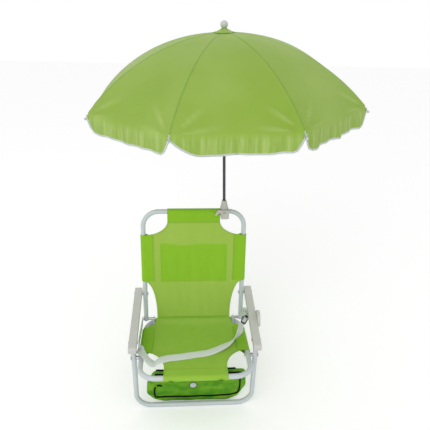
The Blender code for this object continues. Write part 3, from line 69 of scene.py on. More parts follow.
# Frame, as in the CAD
TUBE_RADIUS = 0.0065
TUBE_SIDES = 32
CORNER_STEPS = 14
TUBE_END_LENGTH = 0.0045
TUBE_END_SHARES = ((0.0, 0.55), (0.12, 0.72), (0.45, 0.88), (0.75, 0.97), (1.0, 1.0))
GAP = 0.0003
SEAT_SLOPE = radians(9.0)
RECLINE = radians(8.2)
PIVOT_HEIGHT = 0.168
PIVOT_RISE = 0.015
RAIL_HALF = 0.1375
SEAT_FRONT = 0.254
SEAT_REAR = 0.028
SEAT_FRONT_RADIUS = 0.042
SEAT_REAR_RADIUS = 0.070
LEG_REACH = 0.167
LEG_HALF = 0.157
LEG_ABOVE_PIVOT = 0.050
LEG_TOP_OVERRUN = 0.004
LEG_CORNER_RADIUS = 0.042
REAR_HALF = 0.123
REAR_PIVOT_BACK = 0.025
REAR_PIVOT_DROP = 0.030
REAR_LEAN = radians(15.0)
REAR_CORNER_RADIUS = 0.040
BACK_LENGTH = 0.328
BACK_CORNER_RADIUS = 0.043
FOOT_HEIGHT = TUBE_RADIUS * cos(pi / 12)
HEAD_HEIGHT = 0.0022
PIN_SADDLE = 0.0028
BRACKET_INNER = 0.114
BRACKET_NECK = 0.014

# Slings
FABRIC = 0.0010
SLEEVE_GAP = 0.0006
SLEEVE_RADIUS = TUBE_RADIUS + SLEEVE_GAP + FABRIC / 2
SEAT_SAG = 0.006
BACK_SAG = 0.004
TOP_SLEEVE_HALF = 0.0712
TOP_CUT_START = 0.303
SIDE_SLEEVE_TOP = 0.262
SIDE_SLEEVE_BOTTOM = 0.124
BACK_WAIST_HALF = 0.1045
BACK_WAIST_UP = 0.020
BACK_SLING_FOOT = 0.009
POCKET_HALF = 0.092
POCKET_BOTTOM = 0.121
POCKET_TOP = 0.238
POCKET_BULGE = 0.003
SEAT_SLEEVE_REAR = 0.040
SEAT_SLEEVE_FRONT = 0.155
SEAT_WAIST_INSET = 0.003
SEAT_NOTCH_CLEAR = 0.004
FRONT_SLEEVE_HALF = 0.0785
FRONT_CUT_END = 0.225
LAP_WIDTH = 0.020
BACK_FOLD_HEIGHT = 0.0007
BACK_COCKLE_HEIGHT = 0.0009
BACK_PULL_HEIGHT = 0.0011
SEAT_COCKLE_HEIGHT = 0.0010
SEAT_PULL_HEIGHT = 0.0012
STITCH_INSET = 0.002
HEM_STITCH_INSET = 0.0012
SLEEVE_STITCH_INSET = 0.003
HEM_WIDTH = 0.006
CELL = 0.0036

# Belt, as in the CAD; places are shares of the seat's sizes
WEBBING_WIDTH = 0.026
WEBBING = 0.0014
WEBBING_OUT = 0.0012
WEBBING_CLEAR = 0.0009
BUCKLE_SIDE = 0.0024
BUCKLE_FORWARD = 0.0750
BUCKLE_RISE = 0.0346
BUCKLE_TURN = radians(48.0)
BUCKLE_LENGTH = 0.0250
BUCKLE_WIDTH = 0.0310
BUCKLE_HEIGHT = 0.0044
BUCKLE_RIM = 0.0054
BUCKLE_BAR_RADIUS = 0.0015
BELT_SIDE_SHARES = (
    (0.03, -0.20, 0.00),
    (0.34, 0.00, 0.00),
    (0.62, 0.10, 0.00),
    (0.80, 0.20, 0.35),
)
BELT_OVER_SHARES = ((-0.25, 0.95, 0.20, 0.35), (0.25, 1.04, -0.20, 0.0))
BELT_DROOP_SHARES = ((-0.85, 1.13, 0.78), (-0.755, 1.185, 0.90), (-0.66, 1.18, 0.36))
BELT_LAY_SHARES = (
    (-0.51, 1.12, 0.10),
    (-0.33, 1.085, 0.15),
    (-0.02, 1.02, 0.17),
    (0.29, 0.96, 0.30),
)
# Where the long strap leaves the seat: its place, how far above the sling, and how far it has turned
BELT_RISE_SHARES = ((0.60, 0.815, 0.0035, 0.15), (0.80, 0.680, 0.0105, 0.55), (0.905, 0.585, 0.0205, 0.90))
BELT_END_SHARES = ((0.0, -0.5), (0.03, 1.2))
BUCKLE_ENTRY_SHARE = 0.66
BUCKLE_FOLD_SHARES = (0.60, 0.64)

# Pouch
POUCH_DENT = 0.0016
POUCH_END_DENT = 0.0018
POUCH_WRINKLE = 0.0007
POUCH_CREASE = 0.0012
POUCH_FRONT = 0.0095
POUCH_DEPTH = 0.037
POUCH_BOTTOM = 0.005
POUCH_HEIGHT = 0.091
SNAP_SIDE = -0.004
SNAP_UP = 0.066
LOOP_HALF = 0.060
LOOP_WIDTH = 0.011
LOOP_TURN = radians(28.0)
LOOP_HOLD = 0.010
LOOP_INSET = 0.010
PIPING_RADIUS = 0.0022
# The pouch's outline and the piping of its front panel, as X and Z
POUCH_OUTLINE = (
    (-0.131, 0.062, 0.030),
    (-0.131, 0.036, 0.022),
    (-0.112, 0.015, 0.030),
    (-0.080, 0.005, 0.040),
    (0.092, 0.005, 0.040),
    (0.119, 0.015, 0.030),
    (0.1415, 0.058, 0.040),
    (0.140, 0.0955, 0.010),
    (-0.112, 0.0955, 0.020),
)
POUCH_PIPING = (
    (-0.107, 0.060),
    (-0.1095, 0.048),
    (-0.1095, 0.033),
    (-0.1075, 0.0265),
    (-0.101, 0.0240),
    (-0.060, 0.0235),
    (0.000, 0.0225),
    (0.050, 0.0230),
    (0.088, 0.0240),
    (0.112, 0.0285),
    (0.1205, 0.0345),
    (0.1235, 0.0500),
    (0.1240, 0.0700),
    (0.1235, 0.0850),
)
POUCH_MIDDLE = 0.050
POUCH_MIDDLE_ENDS = (-0.085, 0.094)

# Umbrella, in the pole's own frame
POLE_SIDE = 0.0825
POLE_LEAN = radians(-2.0)
RIB_COUNT = 8
RIM_HEIGHT = 0.303
RIM_RADIUS = 0.3286
APEX_HEIGHT = 0.4557
CROWN_DROP = 0.0047
CROWN_HALF = 0.0040
FINIAL_BALL = 0.0088
FINIAL_NECK = 0.0052
FINIAL_HEIGHT = 0.027
FINIAL_SUNK = 0.0035
CAP_RADIUS = 0.0240
CAP_RISE = 0.0078
RIB_BEND = radians(46.0)
RIB_RADIUS = 0.0014
HINGE_RADIUS = 0.0090
CANOPY = 0.0007
CANOPY_START = 0.0100
PANEL_SAG = 0.0020
VALANCE = 0.035
VALANCE_NOTCH = 0.005
BINDING_WIDTH = 0.0042
BINDING_THICKNESS = 0.0016

X_AXIS = Vector((1.0, 0.0, 0.0))
Y_AXIS = Vector((0.0, 1.0, 0.0))
Z_AXIS = Vector((0.0, 0.0, 1.0))

# Places that follow from the sizes
SEAT_FORWARD = Vector((0.0, -cos(SEAT_SLOPE), sin(SEAT_SLOPE)))
SEAT_UP = Vector((0.0, sin(SEAT_SLOPE), cos(SEAT_SLOPE)))
BACK_UP = Vector((0.0, sin(RECLINE), cos(RECLINE)))
BACK_FORWARD = Vector((0.0, -cos(RECLINE), sin(RECLINE)))
PIVOT_BACK = LEG_REACH * cos(SEAT_SLOPE) + PIVOT_RISE * sin(SEAT_SLOPE)
BACK_PIVOT = Vector((0.0, PIVOT_BACK, PIVOT_HEIGHT))


def seat_point(side, forward, rise):
    """A point by its place on the seat: across, forward of the back pivot and above it."""
    return BACK_PIVOT + X_AXIS * side + SEAT_FORWARD * forward + SEAT_UP * rise


def back_point(side, up, front):
    """A point by its place on the back: across, up from the back pivot and in front of it."""
    return BACK_PIVOT + X_AXIS * side + BACK_UP * up + BACK_FORWARD * front


def sling_point(side, forward, rise):
    return seat_point(side, forward, rise - PIVOT_RISE)


LEG_PIVOT = seat_point(0.0, LEG_REACH, -PIVOT_RISE)
LEG_PIN = LEG_PIVOT + Z_AXIS * LEG_ABOVE_PIVOT
REAR_PIVOT = seat_point(0.0, -REAR_PIVOT_BACK, -REAR_PIVOT_DROP)
TOP_BAR = back_point(0.0, BACK_LENGTH, 0.0)
UMBRELLA = Matrix.Translation(TOP_BAR + X_AXIS * POLE_SIDE) @ Matrix.Rotation(POLE_LEAN, 4, "Y")


# Materials


class Finish:
    """A Principled material with shorthand for its nodes."""

    def __init__(self, name, roughness, metallic=0.0, **sockets):
        self.material = bpy.data.materials.new(name)
        self.material.use_nodes = True
        self.nodes = self.material.node_tree.nodes
        self.links = self.material.node_tree.links
        self.shader = self.nodes["Principled BSDF"]
        self.shader.inputs["Roughness"].default_value = roughness
        self.shader.inputs["Metallic"].default_value = metallic
        for socket, value in sockets.items():
            self.shader.inputs[socket.replace("_", " ")].default_value = value
        self.place = self.nodes.new("ShaderNodeTexCoord")

    def feed(self, node, socket, value):
        """Links a socket, or sets it to a constant."""
        if isinstance(value, bpy.types.NodeSocket):
            self.links.new(value, node.inputs[socket])
        else:
            node.inputs[socket].default_value = value

    def math(self, operation, first, second=0.0):
        node = self.nodes.new("ShaderNodeMath")
        node.operation = operation
        self.feed(node, 0, first)
        self.feed(node, 1, second)
        return node.outputs[0]

    def speckle(self, scale, detail=3.0, stretch=(1.0, 1.0, 1.0), coordinates="Object"):
        """Noise from 0 to 1 at a scale per metre."""
        mapping = self.nodes.new("ShaderNodeMapping")
        self.links.new(self.place.outputs[coordinates], mapping.inputs["Vector"])
        mapping.inputs["Scale"].default_value = stretch
        node = self.nodes.new("ShaderNodeTexNoise")
        self.links.new(mapping.outputs[0], node.inputs["Vector"])
        node.inputs["Scale"].default_value = scale
        node.inputs["Detail"].default_value = detail
        return node.outputs["Fac"]

    def span(self, value, low, high):
        """A value of 0 to 1 carried to a range, held at its ends."""
        node = self.nodes.new("ShaderNodeMapRange")
        self.feed(node, "Value", value)
        node.inputs["To Min"].default_value = low
        node.inputs["To Max"].default_value = high
        return node.outputs[0]

    def steep(self, value, start, stop):
        """0 before a value, 1 after another."""
        node = self.nodes.new("ShaderNodeMapRange")
        self.feed(node, "Value", value)
        node.inputs["From Min"].default_value = start
        node.inputs["From Max"].default_value = stop
        return node.outputs[0]

    def mix(self, factor, first, second):
        node = self.nodes.new("ShaderNodeMix")
        node.data_type = "RGBA"
        self.feed(node, 0, factor)
        self.feed(node, 6, (*first, 1.0) if isinstance(first, tuple) else first)
        self.feed(node, 7, (*second, 1.0) if isinstance(second, tuple) else second)
        return node.outputs[2]

    def attribute(self, name):
        node = self.nodes.new("ShaderNodeAttribute")
        node.attribute_name = name
        return node.outputs["Fac"]

    def colour(self, value):
        self.feed(self.shader, "Base Color", value)

    def roughness(self, value):
        self.feed(self.shader, "Roughness", value)

    def bump(self, height, distance, strength=1.0):
        node = self.nodes.new("ShaderNodeBump")
        node.inputs["Distance"].default_value = distance
        node.inputs["Strength"].default_value = strength
        self.feed(node, "Height", height)
        self.links.new(node.outputs[0], self.shader.inputs["Normal"])

    def weave(self, across, along):
        """A plain weave from the cloth's own coordinates in metres: 0 in the holes, 1 on the threads."""
        split = self.nodes.new("ShaderNodeSeparateXYZ")
        self.links.new(self.place.outputs["UV"], split.inputs[0])
        warp = self.math("SINE", self.math("MULTIPLY", split.outputs["X"], 2 * pi / across))
        weft = self.math("SINE", self.math("MULTIPLY", split.outputs["Y"], 2 * pi / along))
        return self.span(self.math("MULTIPLY", warp, weft), 0.0, 1.0)


def sling_finish():
    """Open polyester mesh, paler where it is single and stronger where it is double."""
    made = Finish("green_sling_mesh", 0.78, Sheen_Weight=0.06, Sheen_Roughness=0.5, Specular_IOR_Level=0.28)
    single = made.mix(made.speckle(26.0, 4.0, (1.0, 1.0, 0.25)), (0.40, 0.635, 0.082), (0.48, 0.675, 0.118))
    double = made.mix(made.speckle(26.0, 4.0, (1.0, 1.0, 0.25)), (0.265, 0.620, 0.010), (0.345, 0.650, 0.024))
    cloth = made.mix(made.attribute("layers_and_highlight"), single, double)
    threads = made.weave(0.0012, 0.0012)
    cloth = made.mix(made.span(threads, 0.22, 0.0), cloth, (0.20, 0.40, 0.03))
    made.colour(made.mix(made.attribute("seam"), cloth, (0.15, 0.37, 0.010)))
    made.roughness(made.span(made.speckle(60.0), 0.70, 0.86))
    made.bump(made.math("ADD", threads, made.math("MULTIPLY", made.speckle(45.0, 5.0), 2.0)), 0.00025)
    return made.material


def canopy_finish():
    """Thin coated taffeta with fine creases and a mottled tone, and a painted highlight along the crease
    ridges.
    """
    made = Finish("green_canopy_cloth", 0.52, Sheen_Weight=0.08, Sheen_Roughness=0.4)
    broad = made.speckle(5.0, 3.0)
    fine = made.speckle(38.0, 5.0, (1.0, 1.0, 0.4))
    cloth = made.mix(made.steep(broad, 0.36, 0.66), (0.250, 0.425, 0.018), (0.325, 0.49, 0.070))
    cloth = made.mix(made.span(fine, 0.0, 0.35), cloth, (0.37, 0.535, 0.095))
    streaks = made.speckle(150.0, 2.0, (1.0, 0.06, 1.0), "UV")
    hanging = made.mix(made.steep(streaks, 0.42, 0.68), (0.300, 0.475, 0.060), (0.420, 0.575, 0.135))
    cloth = made.mix(made.attribute("valance"), cloth, hanging)
    # Painted highlight: the ridges of the creases that fan out from the rib tips are drawn paler, as if lit.
    cloth = made.mix(made.span(made.attribute("crease_and_highlight"), 0.0, 0.75), cloth, (0.46, 0.61, 0.17))
    made.colour(made.mix(made.attribute("seam"), cloth, (0.16, 0.33, 0.02)))
    made.roughness(made.span(fine, 0.44, 0.62))
    made.bump(made.math("ADD", made.weave(0.0008, 0.0008), made.math("MULTIPLY", fine, 3.0)), 0.0002)
    return made.material


def pouch_finish():
    made = Finish("green_pouch_cloth", 0.58, Specular_IOR_Level=0.30)
    # The paler patches of this mottle are partly painted highlight, standing for pale streaks of sheen on the
    # bag; the rest is random tone.
    broad = made.speckle(30.0, 4.0, (1.0, 1.0, 1.6))
    cloth = made.mix(made.steep(broad, 0.34, 0.68), (0.070, 0.330, 0.002), (0.240, 0.560, 0.018))
    threads = made.weave(0.0010, 0.0010)
    made.colour(made.mix(made.span(threads, 0.18, 0.0), cloth, (0.05, 0.16, 0.01)))
    made.roughness(made.span(made.speckle(70.0), 0.52, 0.72))
    made.bump(made.math("ADD", threads, made.math("MULTIPLY", made.speckle(80.0, 4.0), 2.5)), 0.0003)
    return made.material


def webbing_finish(name, pale, dark, pitch=0.0016, sheen=0.3):
    made = Finish(name, 0.75, Sheen_Weight=sheen, Specular_IOR_Level=0.5 * min(1.0, 0.3 + sheen))
    ribs = made.weave(pitch, pitch * 1.6)
    tone = made.mix(made.speckle(120.0, 4.0), dark, pale)
    made.colour(made.mix(made.span(ribs, 0.16, 0.0), tone, tuple(0.6 * shade for shade in dark)))
    made.roughness(made.span(made.speckle(90.0), 0.66, 0.84))
    made.bump(ribs, 0.0004)
    return made.material


def plastic_finish(name, pale, dark, roughness, grain=0.00006):
    made = Finish(name, roughness, Specular_IOR_Level=0.5)
    cloud = made.speckle(35.0, 5.0)
    made.colour(made.mix(cloud, dark, pale))
    made.roughness(made.span(made.speckle(180.0, 4.0), roughness - 0.07, roughness + 0.09))
    made.bump(made.speckle(1500.0, 2.0), grain)
    return made.material


def enamel_finish():
    """Pale grey-white paint on steel, with faint orange peel and a few dull rubs."""
    made = Finish("white_enamel_paint", 0.34, Coat_Weight=0.25, Coat_Roughness=0.18)
    cloud = made.speckle(22.0, 4.0)
    paint = made.mix(cloud, (0.545, 0.600, 0.625), (0.625, 0.675, 0.695))
    rubs = made.steep(made.speckle(140.0, 6.0, (1.0, 0.35, 0.35)), 0.66, 0.80)
    made.colour(made.mix(made.span(rubs, 0.0, 0.5), paint, (0.42, 0.46, 0.49)))
    made.roughness(made.math("ADD", made.span(cloud, 0.28, 0.38), made.span(rubs, 0.0, 0.2)))
    made.bump(made.speckle(420.0, 2.0), 0.00005)
    return made.material


def metal_finish(name, pale, dark, roughness):
    made = Finish(name, roughness, 1.0)
    brush = made.speckle(260.0, 4.0, (1.0, 1.0, 0.12))
    made.colour(made.mix(brush, dark, pale))
    made.roughness(made.span(brush, roughness - 0.08, roughness + 0.12))
    made.bump(brush, 0.00004)
    return made.material


FINISHES = {
    "sling": sling_finish(),
    "canopy": canopy_finish(),
    "pouch": pouch_finish(),
    "webbing": webbing_finish("white_webbing_weave", (0.89, 0.94, 0.91), (0.81, 0.87, 0.83)),
    "binding": webbing_finish("white_binding_tape", (0.78, 0.86, 0.80), (0.70, 0.79, 0.73), 0.0008),
    "tape": webbing_finish("black_zip_tape", (0.0050, 0.0060, 0.0045), (0.0030, 0.0035, 0.0030), 0.0009, 0.0),
    "thread": webbing_finish("green_thread", (0.22, 0.42, 0.03), (0.14, 0.30, 0.02), 0.0004),
    "enamel": enamel_finish(),
    "steel": metal_finish("zinc_plated_steel", (0.60, 0.60, 0.58), (0.42, 0.42, 0.42), 0.36),
    "pole": metal_finish("dark_pole_steel", (0.125, 0.130, 0.140), (0.050, 0.052, 0.060), 0.34),
    "arm": plastic_finish("grey_arm_moulding", (0.64, 0.635, 0.615), (0.575, 0.57, 0.55), 0.50),
    "clamp": plastic_finish("warm_grey_moulding", (0.60, 0.59, 0.55), (0.49, 0.48, 0.445), 0.46),
    "black": plastic_finish("black_moulding", (0.024, 0.024, 0.025), (0.010, 0.010, 0.011), 0.38),
    "nylon": plastic_finish("white_nylon_moulding", (0.63, 0.66, 0.64), (0.51, 0.54, 0.53), 0.36),
}


# Mesh building


def new_piece(name, points, faces, finish, uv=None, values=None):
    """A mesh piece shaded smooth, with the cloth's own coordinates and named shares per point."""
    mesh = bpy.data.meshes.new(name)
    mesh.from_pydata([tuple(point) for point in points], [], faces)
    if uv:
        layer = mesh.uv_layers.new(name="flat")
        for loop in mesh.loops:
            layer.data[loop.index].uv = uv[loop.vertex_index]
    for key, shares in (values or {}).items():
        held = mesh.attributes.new(key, "FLOAT", "POINT")
        held.data.foreach_set("value", np.array(shares, np.float32))
    mesh.update()
    mesh.shade_smooth()
    piece = bpy.data.objects.new(name, mesh)
    bpy.context.scene.collection.objects.link(piece)
    mesh.materials.append(FINISHES[finish])
    return piece


def spline(points, steps):
    """A smooth curve through points, with a number of steps to each span."""
    padded = [2 * points[0] - points[1], *points, 2 * points[-1] - points[-2]]
    curve = []
    for a, b, c, d in zip(padded, padded[1:], padded[2:], padded[3:]):
        for step in range(steps):
            t = step / steps
            bend = (2 * a - 5 * b + 4 * c - d) * t * t + (3 * b - a - 3 * c + d) * t * t * t
            curve.append((2 * b + (c - a) * t + bend) * 0.5)
    curve.append(points[-1].copy())
    return curve


def fillet(corners, radii, closed=False):
    """The points of a path with rounded corners."""
    points = []
    count = len(corners)
    for i, corner in enumerate(corners):
        if not closed and i in (0, count - 1):
            points.append(corner.copy())
            continue
        before = (corners[i - 1] - corner).normalized()
        after = (corners[(i + 1) % count] - corner).normalized()
        half = acos(before.dot(after)) / 2
        centre = corner + (before + after).normalized() * (radii[i] / sin(half))
        first = corner + before * (radii[i] / tan(half)) - centre
        last = corner + after * (radii[i] / tan(half)) - centre
        axis = first.cross(last).normalized()
        for step in range(CORNER_STEPS + 1):
            turn = first.angle(last) * step / CORNER_STEPS
            points.append(centre + Matrix.Rotation(turn, 3, axis) @ first)
    return points


def directions(points, closed):
    """Tangents along a path, and side directions carried along it without twist."""
    count = len(points)
    tangents = []
    for i in range(count):
        before = points[i - 1] if closed or i else points[0]
        after = points[(i + 1) % count] if closed or i < count - 1 else points[-1]
        tangents.append((after - before).normalized())
    side = tangents[0].orthogonal().normalized()
    sides = []
    for i, tangent in enumerate(tangents):
        if i:
            side = tangents[i - 1].rotation_difference(tangent) @ side
        side = (side - tangent * side.dot(tangent)).normalized()
        sides.append(side.copy())
    if closed:
        turned = tangents[-1].rotation_difference(tangents[0]) @ sides[-1]
        drift = atan2(turned.cross(sides[0]).dot(tangents[0]), turned.dot(sides[0]))
        for i in range(count):
            sides[i] = Matrix.Rotation(drift * i / count, 3, tangents[i]) @ sides[i]
    return tangents, sides


def sweep(points, section, closed=False, sides=None):
    """Rings of a section along a path: points, faces and flat coordinates. section(i) gives pairs."""
    tangents, carried = directions(points, closed)
    sides = sides or carried
    rings, uv, faces = [], [], []
    along = 0.0
    for i, (point, tangent, side) in enumerate(zip(points, tangents, sides)):
        if i:
            along += (point - points[i - 1]).length
        side = (side - tangent * side.dot(tangent)).normalized()
        other = tangent.cross(side)
        around = 0.0
        pairs = section(i)
        for j, (a, b) in enumerate(pairs):
            if j:
                around += hypot(a - pairs[j - 1][0], b - pairs[j - 1][1])
            rings.append(point + side * a + other * b)
            uv.append((around, along))
    width = len(section(0))
    count = len(points)
    for i in range(count if closed else count - 1):
        for j in range(width):
            a, b = i * width, (i + 1) % count * width
            faces.append((a + j, a + (j + 1) % width, b + (j + 1) % width, b + j))
    if not closed:
        faces.append(tuple(reversed(range(width))))
        faces.append(tuple(range((count - 1) * width, count * width)))
    return rings, faces, uv


def circle(radius, sides):
    return [(radius * cos(2 * pi * i / sides), radius * sin(2 * pi * i / sides)) for i in range(sides)]


def flat_oval(width, thickness):
    """A strap's section with rounded edges."""
    half, edge = width / 2 - thickness / 2, thickness / 2
    pairs = []
    for side, start in ((1, -pi / 2), (-1, pi / 2)):
        for step in range(5):
            turn = start + pi * step / 4
            pairs.append((side * half + edge * cos(turn), edge * sin(turn)))
    return pairs


def tube_piece(name, points, radius, finish, sides=TUBE_SIDES, closed=False, radii=None):
    rings, faces, uv = sweep(points, lambda i: circle(radii[i] if radii else radius, sides), closed)
    return new_piece(name, rings, faces, finish, uv)


def crimped(points):
    """Points and radii of a frame tube whose two ends are drawn in."""
    start = (points[1] - points[0]).normalized() * TUBE_END_LENGTH
    stop = (points[-2] - points[-1]).normalized() * TUBE_END_LENGTH
    head = [(points[0] + start * along, TUBE_RADIUS * share) for along, share in TUBE_END_SHARES]
    tail = [(points[-1] + stop * along, TUBE_RADIUS * share) for along, share in reversed(TUBE_END_SHARES)]
    both = head + [(point, TUBE_RADIUS) for point in points[1:-1]] + tail
    return [point for point, radius in both], [radius for point, radius in both]


def lathe_piece(name, profile, origin, direction, finish, steps=48):
    """A turned piece from (radius, height) pairs, top to bottom of its outer side."""
    turn = Z_AXIS.rotation_difference(direction.normalized())
    points, uv, faces = [], [], []
    for radius, height in profile:
        for i in range(steps):
            angle = 2 * pi * i / steps
            spot = Vector((radius * cos(angle), radius * sin(angle), height))
            points.append(origin + turn @ spot)
            uv.append((radius * angle, height))
    for row in range(len(profile) - 1):
        for i in range(steps):
            a, b = row * steps, (row + 1) * steps
            faces.append((a + i, b + i, b + (i + 1) % steps, a + (i + 1) % steps))
    faces.append(tuple(range(steps)))
    faces.append(tuple(reversed(range((len(profile) - 1) * steps, len(profile) * steps))))
    return new_piece(name, points, faces, finish, uv)


def strap_piece(name, spine, steps, finish, width=WEBBING_WIDTH, thickness=WEBBING):
    """A strap along (point, width direction) pairs, smoothed."""
    points = spline([point for point, across in spine], steps)
    sides = spline([across.normalized() for point, across in spine], steps)
    rings, faces, uv = sweep(points, lambda i: flat_oval(width, thickness), False, sides)
    return new_piece(name, rings, faces, finish, uv), points


def cloth_piece(name, rows, finish, thickness, hem=1.0):
    """A sheet from rows of (point, u, v, shares) with None where there is no cloth, given thickness."""
    index, points, uv, values, faces = {}, [], [], {}, []
    for i, row in enumerate(rows):
        for j, cell in enumerate(row):
            if cell is None:
                continue
            index[i, j] = len(points)
            points.append(cell[0])
            uv.append((cell[1], cell[2]))
            for key, share in cell[3].items():
                values.setdefault(key, []).append(share)
    for i in range(len(rows) - 1):
        for j in range(len(rows[i]) - 1):
            corners = [index.get(key) for key in ((i, j), (i, j + 1), (i + 1, j + 1), (i + 1, j))]
            if None not in corners:
                faces.append(tuple(corners))
    piece = new_piece(name, points, faces, finish, uv, values)
    solid = piece.modifiers.new("thickness", "SOLIDIFY")
    solid.thickness = thickness * hem
    solid.offset = 0.0
    if hem > 1.0:
        group = piece.vertex_groups.new(name="hem")
        for i, share in enumerate(values["hem"]):
            group.add([i], share, "REPLACE")
        solid.vertex_group = "hem"
        solid.thickness_vertex_group = 1.0 / hem
    return piece


def cloth_area(rows):
    """The area of a sheet's middle surface, from its rows."""
    total = 0.0
    for upper, lower in zip(rows, rows[1:]):
        for j in range(len(upper) - 1):
            cells = (upper[j], upper[j + 1], lower[j + 1], lower[j])
            if None not in cells:
                a, b, c, d = (cell[0] for cell in cells)
                total += (c - a).cross(d - b).length / 2
    return total


def stitch_piece(name, runs, finish, length=0.0024, pitch=0.0036, radius=0.00028):
    """Thread dashes along runs of (point, normal), each a small rounded prism on the cloth."""
    points, faces = [], []
    for run in runs:
        place, travelled = 0.0, 0.0
        for (a, up_a), (b, up_b) in zip(run, run[1:]):
            span = (b - a).length
            while place <= travelled + span:
                share = (place - travelled) / max(span, 1e-9)
                middle = a.lerp(b, share)
                up = up_a.lerp(up_b, share).normalized()
                along = (b - a).normalized()
                out = along.cross(up)
                base = len(points)
                for end, size in ((-0.5, 0.4), (-0.3, 1.0), (0.3, 1.0), (0.5, 0.4)):
                    for x, z in ((-1.0, 0.0), (0.0, 1.0), (1.0, 0.0), (0.0, -1.0)):
                        offset = out * (x * radius * size) + up * (z * radius * size)
                        points.append(middle + along * (end * length) + offset)
                for ring in range(3):
                    for j in range(4):
                        low = base + ring * 4
                        faces.append((low + j, low + (j + 1) % 4, low + 4 + (j + 1) % 4, low + 4 + j))
                faces.append((base, base + 3, base + 2, base + 1))
                faces.append((base + 12, base + 13, base + 14, base + 15))
                place += pitch
            travelled += span
    return new_piece(name, points, faces, finish)


def ease(value):
    held = min(max(value, 0.0), 1.0)
    return held * held * (3.0 - 2.0 * held)


def near(value, place, width):
    """1 at a place, falling smoothly to 0 at a distance from it."""
    return ease(1.0 - abs(value - place) / width)


# Steel frame


def carve(piece, low, high):
    """Cuts a box out of a piece and keeps the result."""
    corners = [Vector((x, y, z)) for z in (low.z, high.z) for y in (low.y, high.y) for x in (low.x, high.x)]
    faces = [(0, 2, 3, 1), (4, 5, 7, 6), (0, 1, 5, 4), (2, 6, 7, 3), (0, 4, 6, 2), (1, 3, 7, 5)]
    cutter = new_piece("cutter", corners, faces, "enamel")
    cut = piece.modifiers.new("cut", "BOOLEAN")
    cut.object = cutter
    cut.solver = "EXACT"
    bpy.context.view_layer.update()
    held = piece.evaluated_get(bpy.context.evaluated_depsgraph_get())
    carved = bpy.data.meshes.new_from_object(held)
    piece.modifiers.clear()
    piece.data = carved
    bpy.data.objects.remove(cutter, do_unlink=True)


def frame_tubes():
    rise = -PIVOT_RISE
    corners = [
        seat_point(RAIL_HALF, SEAT_FRONT, rise),
        seat_point(-RAIL_HALF, SEAT_FRONT, rise),
        seat_point(-RAIL_HALF, -SEAT_REAR, rise),
        seat_point(RAIL_HALF, -SEAT_REAR, rise),
    ]
    radii = [SEAT_FRONT_RADIUS, SEAT_FRONT_RADIUS, SEAT_REAR_RADIUS, SEAT_REAR_RADIUS]
    loop = fillet(corners, radii, closed=True)
    seat = tube_piece("seat_tube", loop, TUBE_RADIUS, "enamel", closed=True)
    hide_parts("seat_frame")
    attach(seat, "seat")
    down = Vector((0.0, sin(REAR_LEAN), -cos(REAR_LEAN)))
    length = (REAR_PIVOT.z - FOOT_HEIGHT) / cos(REAR_LEAN)
    top = LEG_PIN.z + LEG_TOP_OVERRUN
    runs = (
        (
            "front_leg_tube",
            "front_leg",
            "front_leg",
            LEG_CORNER_RADIUS,
            (
                Vector((LEG_HALF, 0.0, top)),
                Vector((LEG_HALF, 0.0, FOOT_HEIGHT)),
                Vector((-LEG_HALF, 0.0, FOOT_HEIGHT)),
                Vector((-LEG_HALF, 0.0, top)),
            ),
        ),
        (
            "rear_leg_tube",
            "rear_leg",
            "rear_leg",
            REAR_CORNER_RADIUS,
            (
                REAR_PIVOT + X_AXIS * REAR_HALF - down * TUBE_RADIUS,
                REAR_PIVOT + X_AXIS * REAR_HALF + down * length,
                REAR_PIVOT - X_AXIS * REAR_HALF + down * length,
                REAR_PIVOT - X_AXIS * REAR_HALF - down * TUBE_RADIUS,
            ),
        ),
        (
            "back_tube",
            "back_frame",
            "back",
            BACK_CORNER_RADIUS,
            (
                back_point(RAIL_HALF, -TUBE_RADIUS, 0.0),
                back_point(RAIL_HALF, BACK_LENGTH, 0.0),
                back_point(-RAIL_HALF, BACK_LENGTH, 0.0),
                back_point(-RAIL_HALF, -TUBE_RADIUS, 0.0),
            ),
        ),
    )
    for name, node, body, bend, path in runs:
        points, radii = crimped(fillet(path, [0.0, bend, bend, 0.0]))
        piece = tube_piece(name, points, TUBE_RADIUS, "enamel", radii=radii)
        if node == "front_leg":
            for side in (-1, 1):
                place = LEG_PIN + X_AXIS * side * LEG_HALF
                low = place - Vector((0.012, 0.012, PIN_SADDLE))
                carve(piece, low, place + Vector((0.012, PIN_SADDLE, 0.012)))
        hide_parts(node)
        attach(piece, body)


# Slings


def columns(half):
    """Places across a sling: a hem at each edge and even cells between."""
    inner = half - HEM_WIDTH
    count = 2 * round(RAIL_HALF / CELL)
    middle = [-inner + 2 * inner * i / count for i in range(count + 1)]
    edge = [HEM_WIDTH * share for share in (0.0, 0.12, 0.45, 0.88)]
    return [-half + d for d in edge] + middle + [half - d for d in reversed(edge)]


def sleeve_cells(place, along, side, shares):
    """A row's cloth round one rail and back inboard under the main cloth, to its lap."""
    cells = []
    steps = 14
    for step in range(1, steps + 1):
        turn = pi * step / steps
        out = side * (RAIL_HALF + SLEEVE_RADIUS * sin(turn))
        spot = place(out, along, SLEEVE_RADIUS * cos(turn))
        cells.append((spot, side * (RAIL_HALF + SLEEVE_RADIUS * turn), along, shares))
    lap = RAIL_HALF - TUBE_RADIUS - LAP_WIDTH
    for step in range(1, 9):
        share = step / 8
        across = RAIL_HALF + (lap - RAIL_HALF) * share
        drop = -SLEEVE_RADIUS + (2.0 * SLEEVE_RADIUS - FABRIC * 1.6) * ease(share * 1.08)
        wide = side * (RAIL_HALF + SLEEVE_RADIUS * pi + (RAIL_HALF - lap) * share)
        cells.append((place(side * across, along, drop), wide, along, shares))
    return cells


